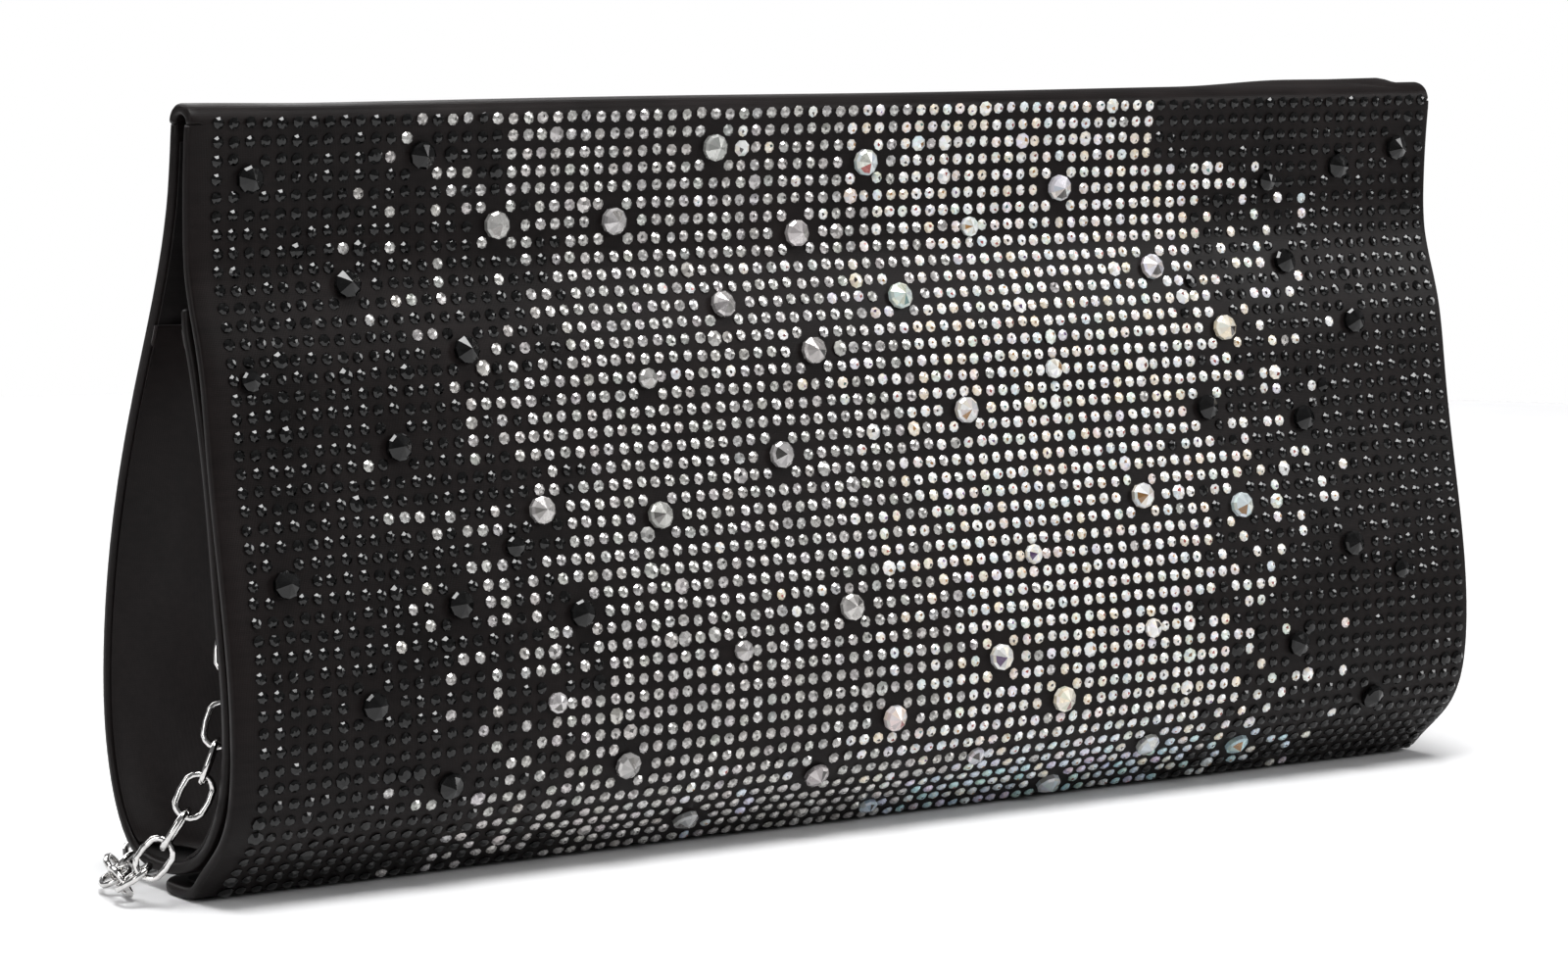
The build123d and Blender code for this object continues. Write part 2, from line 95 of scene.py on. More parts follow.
# ---- finishes ------------------------------------------------------------------------------
class Recipe:
    """A material's node tree around one Principled shader."""

    def __init__(self, name: str) -> None:
        """Starts a material of that name."""
        self.material = bpy.data.materials.new(name)
        self.material.use_nodes = True
        self.tree = self.material.node_tree
        self.shader = self.tree.nodes["Principled BSDF"]
        self.place = self.tree.nodes.new("ShaderNodeTexCoord").outputs["Object"]

    def set(self, **values: object) -> None:
        """Sets the shader's own sockets; an underscore in a name stands for a space."""
        for name, value in values.items():
            self.shader.inputs[name.replace("_", " ")].default_value = value

    def stretched(self, scale: Sequence[float]) -> Socket:
        """Object coordinates, scaled along each axis."""
        mapping = self.tree.nodes.new("ShaderNodeMapping")
        mapping.inputs["Scale"].default_value = scale
        self.tree.links.new(self.place, mapping.inputs["Vector"])
        return mapping.outputs["Vector"]

    def noise(self, scale: float, detail: float = 3.0, stretch: Sequence[float] = (1, 1, 1)) -> Socket:
        """A noise pattern's value.

        Args:
            scale: Cells per metre.
            detail: Octaves.
            stretch: Scale along each axis before the noise is read.

        Returns:
            The socket with a value about 0.5.
        """
        node = self.tree.nodes.new("ShaderNodeTexNoise")
        node.inputs["Scale"].default_value = scale
        node.inputs["Detail"].default_value = detail
        self.tree.links.new(self.stretched(stretch), node.inputs["Vector"])
        return node.outputs["Fac"]

    def ramp(self, value: Socket, stops: Sequence[tuple[float, Sequence[float]]]) -> Socket:
        """A colour read from a value through colour stops."""
        node = self.tree.nodes.new("ShaderNodeValToRGB")
        elements = node.color_ramp.elements
        while len(elements) < len(stops):
            elements.new(0.5)
        for element, (position, colour) in zip(elements, stops):
            element.position = position
            element.color = (*colour, 1.0)
        self.tree.links.new(value, node.inputs["Fac"])
        return node.outputs["Color"]

    def spread(self, value: Socket, low: float, high: float) -> Socket:
        """A value moved from 0.3 to 0.7 into low to high."""
        node = self.tree.nodes.new("ShaderNodeMapRange")
        node.inputs["From Min"].default_value = 0.3
        node.inputs["From Max"].default_value = 0.7
        node.inputs["To Min"].default_value = low
        node.inputs["To Max"].default_value = high
        self.tree.links.new(value, node.inputs["Value"])
        return node.outputs["Result"]

    def mixed(self, first: Socket, second: Socket, share: float) -> Socket:
        """Two values averaged, with the given share of the second."""
        node = self.tree.nodes.new("ShaderNodeMix")
        node.inputs["Factor"].default_value = share
        self.tree.links.new(first, node.inputs["A"])
        self.tree.links.new(second, node.inputs["B"])
        return node.outputs["Result"]

    def attribute(self, name: str) -> Socket:
        """A mesh attribute's colour."""
        node = self.tree.nodes.new("ShaderNodeAttribute")
        node.attribute_name = name
        return node.outputs["Color"]

    def weave(self, threads_per_metre: float) -> Socket:
        """Crossing fine threads along X and down the cloth."""
        waves = []
        for direction in ("X", "Z"):
            node = self.tree.nodes.new("ShaderNodeTexWave")
            node.bands_direction = direction
            node.inputs["Scale"].default_value = threads_per_metre
            node.inputs["Distortion"].default_value = 0.6
            node.inputs["Detail"].default_value = 1.0
            self.tree.links.new(self.place, node.inputs["Vector"])
            waves.append(node.outputs["Fac"])
        return self.mixed(waves[0], waves[1], 0.5)

    def feed(self, socket: str, source: Socket) -> None:
        """Joins a pattern to one of the shader's sockets."""
        self.tree.links.new(source, self.shader.inputs[socket])

    def bump(self, height: Socket, strength: float, depth: float) -> None:
        """Raises the surface by a pattern, up to depth in metres."""
        node = self.tree.nodes.new("ShaderNodeBump")
        node.inputs["Strength"].default_value = strength
        node.inputs["Distance"].default_value = depth
        self.tree.links.new(height, node.inputs["Height"])
        self.tree.links.new(node.outputs["Normal"], self.shader.inputs["Normal"])


@dataclass(frozen=True)
class SatinFinish:
    """Woven satin with a soft broken sheen."""

    name: str
    dark: tuple[float, float, float]
    light: tuple[float, float, float]
    roughness: tuple[float, float]
    sheen: float
    threads: float = 1100.0

    def material(self) -> bpy.types.Material:
        """The finish as a node material."""
        recipe = Recipe(self.name)
        clouds = recipe.noise(55.0, 4.0, (1, 1, 0.5))
        slubs = recipe.noise(900.0, 2.0, (0.12, 1, 1))
        blend = recipe.mixed(clouds, slubs, 0.35)
        recipe.feed("Base Color", recipe.ramp(blend, ((0.35, self.dark), (0.68, self.light))))
        recipe.feed("Roughness", recipe.spread(clouds, *self.roughness))
        recipe.set(Specular_IOR_Level=0.1, Sheen_Weight=self.sheen, Sheen_Roughness=0.4, Anisotropic=0.35)
        recipe.bump(recipe.mixed(recipe.weave(self.threads), slubs, 0.4), 0.22, 0.00012)
        return recipe.material


@dataclass(frozen=True)
class BoardFinish:
    """Grey bag board with loose fibres."""

    name: str

    def material(self) -> bpy.types.Material:
        """The finish as a node material."""
        recipe = Recipe(self.name)
        fibres = recipe.noise(700.0, 6.0, (0.3, 1, 1))
        recipe.feed("Base Color", recipe.ramp(fibres, ((0.3, (0.24, 0.22, 0.19)), (0.7, (0.42, 0.39, 0.34)))))
        recipe.set(Roughness=0.9)
        recipe.bump(fibres, 0.4, 0.0001)
        return recipe.material


@dataclass(frozen=True)
class MetalFinish:
    """Plated metal, polished or brushed, with fine scuffs."""

    name: str
    colour: tuple[float, float, float]
    worn: tuple[float, float, float]
    roughness: tuple[float, float]

    def material(self) -> bpy.types.Material:
        """The finish as a node material."""
        recipe = Recipe(self.name)
        scuffs = recipe.noise(1400.0, 5.0)
        recipe.feed("Base Color", recipe.ramp(scuffs, ((0.3, self.worn), (0.6, self.colour))))
        recipe.feed("Roughness", recipe.spread(scuffs, *self.roughness))
        recipe.set(Metallic=1.0)
        recipe.bump(scuffs, 0.05, 0.00003)
        return recipe.material


@dataclass(frozen=True)
class CrystalFinish:
    """Cut glass; each facet's brightness and cast, a painted reflection of the light that the facets catch,
    is in the mesh attribute.
    """

    name: str
    metallic: float
    roughness: tuple[float, float]
    coat: float
    ior: float = 1.6

    def material(self) -> bpy.types.Material:
        """The finish as a node material."""
        recipe = Recipe(self.name)
        polish = recipe.noise(650.0, 2.0)
        # Base colour from the facet attribute: the painted reflections of the facets.
        recipe.feed("Base Color", recipe.attribute(FACET))
        recipe.feed("Roughness", recipe.spread(polish, *self.roughness))
        recipe.set(Metallic=self.metallic, Coat_Weight=self.coat, Coat_Roughness=0.03, IOR=self.ior)
        return recipe.material


@dataclass(frozen=True)
class FloorFinish:
    """The pale studio floor."""

    name: str

    def material(self) -> bpy.types.Material:
        """The finish as a node material."""
        recipe = Recipe(self.name)
        grain = recipe.noise(30.0, 2.0)
        stops = ((0.3, (0.755, 0.755, 0.76)), (0.7, (0.77, 0.77, 0.775)))
        recipe.feed("Base Color", recipe.ramp(grain, stops))
        recipe.set(Roughness=0.55, Specular_IOR_Level=0.2)
        return recipe.material


# Name of the mesh attribute that carries each facet's painted reflection.
FACET = "facet_painted_reflection"
SATIN = SatinFinish(
    "satin_black", (0.0034, 0.0025, 0.0024), (0.0092, 0.0068, 0.0066), (0.34, 0.48), 0.015
)
LINING = SatinFinish(
    "lining_black", (0.006, 0.0052, 0.0052), (0.013, 0.0115, 0.0115), (0.5, 0.62), 0.05, 1300.0
)
# The gusset hem's satin: the black satin made lighter and glossier. This is a painted sheen that stands in
# for light on the hem, which lies in shade.
HEM_PAINTED_SHEEN = SatinFinish("hem_satin_painted_sheen", (0.012, 0.0095, 0.0095), (0.032, 0.026, 0.026), (0.4, 0.5), 0.3)
RIBBON = SatinFinish("ribbon_black", (0.006, 0.005, 0.006), (0.014, 0.012, 0.013), (0.4, 0.5), 0.1, 1500.0)
BOARD = BoardFinish("bag_board")
NICKEL = MetalFinish("bright_nickel", (0.58, 0.57, 0.56), (0.46, 0.45, 0.45), (0.16, 0.3))
CHAIN_METAL = MetalFinish("polished_chain", (0.62, 0.61, 0.6), (0.5, 0.49, 0.48), (0.06, 0.16))
CLEAR_GLASS = CrystalFinish("foil_backed_clear", 0.6, (0.16, 0.3), 0.35)
AURORA_GLASS = CrystalFinish("aurora_coated", 0.25, (0.18, 0.3), 0.6)
JET_GLASS = CrystalFinish("jet_glass", 0.0, (0.03, 0.08), 0.0, 1.42)
FLOOR = FloorFinish("pale_floor")


# ---- modelling helpers ---------------------------------------------------------------------
def activate(piece: Piece) -> None:
    """Makes one piece the only selected one, and the active one."""
    bpy.ops.object.select_all(action="DESELECT")
    piece.select_set(True)
    bpy.context.view_layer.objects.active = piece


def named(name: str) -> Piece:
    """Names the active object and its mesh."""
    piece = bpy.context.object
    piece.name = name
    piece.data.name = name
    return piece


def points_of(piece: Piece) -> Array:
    """A mesh's vertices as an array of rows."""
    flat = np.zeros(len(piece.data.vertices) * 3)
    piece.data.vertices.foreach_get("co", flat)
    return flat.reshape(-1, 3)


def set_points(piece: Piece, points: Array) -> None:
    """Moves a mesh's vertices."""
    piece.data.vertices.foreach_set("co", points.ravel())
    piece.data.update()


def apply_modifier(piece: Piece, kind: str, **settings: object) -> None:
    """Adds one modifier with its settings and applies it."""
    activate(piece)
    modifier = piece.modifiers.new(kind.lower(), kind)
    for name, value in settings.items():
        setattr(modifier, name, value)
    bpy.ops.object.modifier_apply(modifier=modifier.name)


def thicken(piece: Piece, thickness: float) -> None:
    """Gives a sheet its wall, away from the side that its faces look to."""
    apply_modifier(piece, "SOLIDIFY", thickness=thickness, offset=-1.0, use_even_offset=True)


def round_edges(piece: Piece, width: float, keep: Callable[[Vector], bool] = lambda middle: False) -> None:
    """Bevels a piece's sharp edges.

    Args:
        piece: The piece, a closed mesh.
        width: How far the bevel reaches on each side.
        keep: Says of an edge's middle that it stays sharp.
    """
    activate(piece)
    bpy.ops.object.mode_set(mode="EDIT")
    bpy.ops.mesh.select_mode(type="EDGE")
    bpy.ops.mesh.select_all(action="DESELECT")
    bpy.ops.mesh.edges_select_sharp(sharpness=math.radians(55))
    mesh = bmesh.from_edit_mesh(piece.data)
    for edge in mesh.edges:
        if edge.select and keep((edge.verts[0].co + edge.verts[1].co) / 2):
            edge.select_set(False)
    bmesh.update_edit_mesh(piece.data)
    bpy.ops.mesh.bevel(offset=width, offset_type="OFFSET", segments=3, affect="EDGES")
    bpy.ops.object.mode_set(mode="OBJECT")


def smooth(piece: Piece, angle: float = 40.0) -> None:
    """Smooth shading, with edges over the angle left crisp."""
    activate(piece)
    bpy.ops.object.shade_smooth_by_angle(angle=math.radians(angle))


def dress(piece: Piece, finish: bpy.types.Material, slot: Slot, body: Body | None, *nodes: str) -> Piece:
    """Gives a piece its finish and body, and hides the frame nodes that it stands for."""
    piece.data.materials.clear()
    piece.data.materials.append(finish)
    if nodes:
        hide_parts(*nodes)
    if body is not None:
        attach(piece, body.value)
    LOG.info("%s: %d faces", piece.name, len(piece.data.polygons))
    return piece


def sheet_grid(name: str, across: int, along: int, place: Callable[[Array, Array], Array]) -> Piece:
    """A grid laid out by a function of its two shares.

    Args:
        name: The piece's name.
        across: Cells along the first share.
        along: Cells along the second share.
        place: Turns arrays of both shares, 0 to 1, into rows of points.

    Returns:
        The sheet, one cell thick.
    """
    bpy.ops.object.select_all(action="DESELECT")
    bpy.ops.mesh.primitive_grid_add(x_subdivisions=across, y_subdivisions=along, size=1.0)
    piece = named(name)
    flat = points_of(piece)
    set_points(piece, place(flat[:, 0] + 0.5, flat[:, 1] + 0.5))
    return piece


def face_place(face: bpy.types.MeshPolygon) -> tuple[float, float]:
    """A face's height and its angle round the middle, so that faces come in the same order each run."""
    angle = (math.atan2(face.center.y, face.center.x) + 0.1) % (2 * math.pi)
    return round(face.center.z, 7), round(angle, 3)


def scattered(name: str, template: Piece, axes: Array, places: Array, tones: Array | None = None) -> Piece:
    """Many copies of one small shape in one mesh.

    Args:
        name: The piece's name.
        template: The shape at the origin; it is removed.
        axes: For each copy, its three axes as columns.
        places: For each copy, its middle.
        tones: For each copy and face, a colour.

    Returns:
        The joined piece.
    """
    shape = points_of(template)
    faces = [list(polygon.vertices) for polygon in sorted(template.data.polygons, key=face_place)]
    points = np.einsum("nij,vj->nvi", axes, shape) + places[:, None, :]
    steps = np.arange(len(places)) * len(shape)
    all_faces = [[v + step for v in face] for step in steps.tolist() for face in faces]
    mesh = bpy.data.meshes.new(name)
    mesh.from_pydata(points.reshape(-1, 3).tolist(), [], all_faces)
    if tones is not None:
        sizes = [len(face) for face in faces]
        corners = np.repeat(tones, sizes, axis=1).reshape(-1, 3)
        layer = mesh.color_attributes.new(FACET, "FLOAT_COLOR", "CORNER")
        layer.data.foreach_set("color", np.c_[corners, np.ones(len(corners))].astype(np.float32).ravel())
    bpy.data.objects.remove(template)
    piece = bpy.data.objects.new(name, mesh)
    bpy.context.scene.collection.objects.link(piece)
    return piece


def unit(rows: Array) -> Array:
    """Each row at length 1."""
    return rows / np.linalg.norm(rows, axis=1)[:, None]


def run_lengths(points: Array) -> Array:
    """Distances along a path, from 0 at its first point."""
    return np.r_[0, np.cumsum(np.linalg.norm(np.diff(points, axis=0), axis=1))]


def end_word(side: int) -> str:
    """The word for the bag's end on a side, -1 or 1."""
    return "left" if side < 0 else "right"


def joint_place(name: str) -> Sequence[float]:
    """Where a joint of the frame is."""
    return next(joint for joint in frame["joints"] if joint["name"] == name)["pos_m"]


def node_mesh(node: str) -> bmesh.types.BMesh:
    """A merged copy of a frame node's mesh."""
    mesh = bmesh.new()
    mesh.from_mesh(frame["nodes"][node].data)
    bmesh.ops.remove_doubles(mesh, verts=mesh.verts, dist=1e-6)
    return mesh


def ease(value: Array) -> Array:
    """A smooth step from 0 to 1."""
    held = np.clip(value, 0.0, 1.0)
    return held * held * (3.0 - 2.0 * held)


# ---- the frame's own outlines --------------------------------------------------------------
class Outline:
    """The outer edge of a cloth node's section, from its top, as a path in Y and Z."""

    STEP = 0.8 * MM
    CORNER = math.radians(50)

    def __init__(self, node: str, cut_x: float, side: int) -> None:
        """Reads the node's section.

        Args:
            node: The frame node, a slab along X.
            cut_x: Where the section is taken.
            side: 1 if the outside is on the path's left, seen from +X, and -1 on its right.
        """
        self.side = side
        loop = self._section(node, cut_x)
        chain = max(self._chains(loop), key=self._length)
        if chain[0][1] < chain[-1][1]:
            chain = chain[::-1]
        runs = run_lengths(chain)
        self.length = float(runs[-1])
        self.runs = np.linspace(0, self.length, int(self.length / self.STEP))
        even = np.c_[np.interp(self.runs, runs, chain[:, 0]), np.interp(self.runs, runs, chain[:, 1])]
        for _ in range(3):
            even[1:-1] = (even[:-2] + 2 * even[1:-1] + even[2:]) / 4
        self.points = even
        self.ways = unit(np.gradient(even, axis=0))

    @staticmethod
    def _section(node: str, cut_x: float) -> Array:
        """The node's section as an ordered closed loop of y and z."""
        mesh = node_mesh(node)
        geometry = [*mesh.verts, *mesh.edges, *mesh.faces]
        cut = bmesh.ops.bisect_plane(mesh, geom=geometry, plane_co=(cut_x, 0, 0), plane_no=(1, 0, 0))
        edges = {item for item in cut["geom_cut"] if isinstance(item, bmesh.types.BMEdge)}
        start = min(edges, key=lambda edge: edge.index)
        corner, loop = start.verts[0], []
        edge = start
        while edge is not None:
            loop.append((corner.co.y, corner.co.z))
            corner = edge.other_vert(corner)
            edges.discard(edge)
            edge = next((other for other in corner.link_edges if other in edges), None)
        mesh.free()
        return np.array(loop)

    @classmethod
    def _chains(cls, loop: Array) -> list[Array]:
        """The loop cut at its sharp corners."""
        before, after = loop - np.roll(loop, 1, axis=0), np.roll(loop, -1, axis=0) - loop
        cross = before[:, 0] * after[:, 1] - before[:, 1] * after[:, 0]
        turns = np.abs(np.arctan2(cross, (before * after).sum(1)))
        corners = np.flatnonzero(turns > cls.CORNER)
        ends = np.r_[corners[1:], corners[0] + len(loop)]
        return [loop[np.arange(first, last + 1) % len(loop)] for first, last in zip(corners, ends)]

    @staticmethod
    def _length(chain: Array) -> float:
        """A chain's length."""
        return float(np.linalg.norm(np.diff(chain, axis=0), axis=1).sum())

    def at(self, run: Array, lift: Array | float = 0.0) -> tuple[Array, Array]:
        """Points a distance along the edge, lifted off it to the outside.

        Args:
            run: Distances from the top; outside the edge they go on straight.
            lift: Distances to the outside.

        Returns:
            Rows of y and z, and rows of the outward direction's y and z.
        """
        run = np.atleast_1d(np.asarray(run, float))
        held = np.clip(run, 0.0, self.length)
        place = np.stack([np.interp(held, self.runs, self.points[:, i]) for i in (0, 1)], axis=1)
        way = np.stack([np.interp(held, self.runs, self.ways[:, i]) for i in (0, 1)], axis=1)
        way = unit(way)
        outward = np.c_[-way[:, 1], way[:, 0]] * self.side
        place = place + way * (run - held)[:, None] + outward * np.broadcast_to(lift, run.shape)[:, None]
        return place, outward

    def run_at_height(self, height: float) -> float:
        """The distance where the edge first passes a height on its way down."""
        return float(self.runs[self.points[:, 1] < height][0])


@dataclass(frozen=True)
class Shell:
    """Sizes that the flap and the body share."""

    wall: float = 2.0 * MM
    skin: float = 0.3 * MM
    rim: float = 0.7 * MM
    layers: float = 2.1 * MM


SHELL = Shell()
flap_edge = Outline("flap_satin", 0.05, -1)
body_edge = Outline("body_satin", 0.05, 1)


def unevenness(x: Array, run: Array) -> Array:
    """How far the hand-laid satin and its stones stand off the true surface."""
    slow = np.sin(x * 61.0 + 1.3) * np.cos(run * 47.0 + 0.4)
    quick = np.sin(x * 143.0 + run * 71.0)
    return (0.10 * slow + 0.05 * quick) * MM


def covered_board(name: str, edge: Outline, half_width: float, tip: float, start: float = 0.0) -> Piece:
    """A board covered in satin, as a hollow skin with turned, rounded edges.

    Args:
        name: The piece's name.
        edge: The outline that the satin follows.
        half_width: Half the width along X.
        tip: The radius of the two corners at the far end, or 0.
        start: Where on the outline the cover starts.

    Returns:
        The closed skin.
    """

    def place(across: Array, along: Array) -> Array:
        """Lays the cloth out from its two shares."""
        run = start + (edge.length - start) * along
        near_tip = np.clip(run - (edge.length - tip), 0.0, tip)
        width = half_width - (tip - np.sqrt(np.maximum(tip**2 - near_tip**2, 0.0)))
        x = edge.side * width * (2 * across - 1)
        settled = ease((half_width - np.abs(x)) / (6 * MM)) * ease(run / (6 * MM))
        rest = ease((edge.length - run) / (14 * MM))
        places, _ = edge.at(run, unevenness(x, run) * settled * rest)
        return np.c_[x, places]

    piece = sheet_grid(name, 88, 110, place)
    thicken(piece, SHELL.wall)
    top = float(edge.at(np.array([start]))[0][0, 1])
    inner = half_width - MM
    round_edges(piece, SHELL.rim, lambda middle: abs(middle.z - top) < 0.4 * MM and abs(middle.x) < inner)
    thicken(piece, SHELL.skin)
    smooth(piece)
    return piece


# ---- flap ----------------------------------------------------------------------------------
@dataclass
class Flap:
    """The flap: a satin-covered board with its lining."""

    half_width: float = 133.5 * MM
    tip_corner: float = 8.0 * MM
    lining_margin: float = 3.5 * MM
    lining_wall: float = 0.3 * MM

    def cover(self) -> Piece:
        """The satin round the flap's board."""
        piece = covered_board("flap_cover", flap_edge, self.half_width, self.tip_corner)
        return dress(piece, finishes["satin"], Slot.SATIN, Body.FLAP, "flap_satin")

    def lining(self) -> Piece:
        """The lining panel on the flap's inside, short of the turned satin edges."""
        corner = self.tip_corner - self.lining_margin
        far = flap_edge.length - self.lining_margin

        def place(across: Array, along: Array) -> Array:
            """Lays the cloth out from its two shares."""
            run = self.lining_margin + (far - self.lining_margin) * along
            near_tip = np.clip(run - (far - corner), 0.0, corner)
            width = self.half_width - self.lining_margin
            width = width - (corner - np.sqrt(np.maximum(corner**2 - near_tip**2, 0.0)))
            x = width * (2 * across - 1)
            places, _ = flap_edge.at(run, -SHELL.wall - self.lining_wall)
            return np.c_[x, places]

        piece = sheet_grid("flap_lining_panel", 60, 80, place)
        thicken(piece, self.lining_wall + 0.05 * MM)
        smooth(piece)
        return dress(piece, finishes["lining"], Slot.LINING, Body.FLAP, "flap_lining")

    def build(self) -> None:
        """Builds the flap's cloth."""
        self.cover()
        self.lining()


# ---- top fold ------------------------------------------------------------------------------
@dataclass
class TopFold:
    """The satin that runs over the top from the back panel to the flap."""

    half_width: float = 133.2 * MM
    overlap: float = 0.35 * MM
    crest_from: float = 72.0 * MM
    crest_to: float = 127.5 * MM
    crest_rise: float = 1.5 * MM
    flatness: float = 0.8

    def __post_init__(self) -> None:
        """Reads the hinge line and the fold's radius from the frame."""
        _, self.hinge_y, self.hinge_z = joint_place("flap_hinge")
        low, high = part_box("hinge_fold")
        self.radius = (high.y - low.y) / 2

    def crest(self, x: Array, turn: Array) -> Array:
        """The back panel's edge, standing a little proud at the right end, with a slanting crease."""
        window = ease((x - self.crest_from) / (30 * MM)) * ease((self.crest_to - x) / (2.2 * MM))
        ridge = np.exp(-((turn - 1.15) / 0.42) ** 2)
        slant = (x - self.crest_to + 5.5 * MM) / (7 * MM)
        crease = np.exp(-((turn - 2.0 - 0.5 * slant) / 0.16) ** 2) * np.exp(-(slant**2))
        return self.crest_rise * window * ridge - 0.3 * MM * crease

    def place(self, across: Array, along: Array) -> Array:
        """Points of the fold's outer face, from the back to the front."""
        x = self.half_width * (1 - 2 * across)
        turn = math.pi * along
        sag = -0.25 * MM * (0.5 + 0.5 * np.sin(x * 47.0 + 0.8)) * np.sin(turn) ** 2
        end_lift = 0.35 * MM * ease((np.abs(x) - 0.108) / (25 * MM)) * np.sin(turn) ** 2
        radius = self.radius + sag + end_lift + self.crest(x, turn)
        y = self.hinge_y + radius * np.cos(turn)
        z = self.hinge_z + radius * np.sin(turn) * self.flatness
        tail = (ease((0.03 - along) / 0.03) + ease((along - 0.97) / 0.03)) * self.overlap
        return np.c_[x, y, z - tail]

    def build(self) -> Piece:
        """The fold over the top, between the bag and its flap."""
        piece = sheet_grid("top_fold", 150, 26, self.place)
        thicken(piece, SHELL.wall - 0.1 * MM)
        foot = self.hinge_z + 0.6 * MM
        round_edges(piece, 0.6 * MM, lambda middle: middle.z < foot and abs(middle.x) < self.half_width - MM)
        smooth(piece, 50)
        dress(piece, finishes["satin"], Slot.SATIN, None, "hinge_fold")
        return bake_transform(piece)


# ---- body ----------------------------------------------------------------------------------
@dataclass
class BagBody:
    """The boarded body: satin outside, lining inside, and a slip pocket."""

    half_width: float = 133.0 * MM
    lining_margin: float = 3.0 * MM
    lining_wall: float = 0.3 * MM
    pocket_half: float = 75.0 * MM
    pocket_top: float = 80.0 * MM
    pocket_foot: float = 26.0 * MM
    pocket_hem: float = 5.0 * MM

    def cover(self) -> Piece:
        """The satin round the back, base and front boards."""
        piece = covered_board("body_cover", body_edge, self.half_width, 0.0)
        return dress(piece, finishes["satin"], Slot.SATIN, Body.BAG, "body_satin")

    def lining(self) -> Piece:
        """The lining inside the body, turned in below each top edge."""
        far = body_edge.length - self.lining_margin

        def place(across: Array, along: Array) -> Array:
            """Lays the cloth out from its two shares."""
            run = self.lining_margin + (far - self.lining_margin) * along
            x = (self.half_width - MM) * (2 * across - 1)
            places, _ = body_edge.at(run, -SHELL.wall - self.lining_wall)
            return np.c_[x, places]

        piece = sheet_grid("body_lining_cloth", 60, 120, place)
        thicken(piece, -self.lining_wall)
        smooth(piece)
        return dress(piece, finishes["lining"], Slot.LINING, Body.BAG, "body_lining")

    def pocket(self) -> Piece:
        """The flat slip pocket on the back lining, with a turned hem at its mouth."""
        top = body_edge.run_at_height(self.pocket_top)
        foot = body_edge.run_at_height(self.pocket_foot)

        def place(across: Array, along: Array) -> Array:
            """Lays the cloth out from its two shares."""
            run = top + (foot - top) * along
            x = self.pocket_half * (1 - 2 * across)
            hem = ease((top + self.pocket_hem - run) / (0.5 * MM)) * 0.35 * MM
            stitch = np.exp(-(((run - top - self.pocket_hem + MM) / (0.45 * MM)) ** 2)) * 0.25 * MM
            gape = np.sin(math.pi * across) * ease((foot - run) / (foot - top)) * 0.5 * MM
            lift = -SHELL.wall - self.lining_wall - 0.4 * MM - hem + stitch - gape
            places, _ = body_edge.at(run, lift)
            return np.c_[x, places]

        piece = sheet_grid("slip_pocket_cloth", 50, 110, place)
        thicken(piece, 0.35 * MM)
        smooth(piece)
        dress(piece, finishes["lining"], Slot.LINING, Body.BAG, "slip_pocket")
        return piece

    def build(self) -> None:
        """Builds the body's cloth."""
        self.cover()
        self.lining()
        self.pocket()


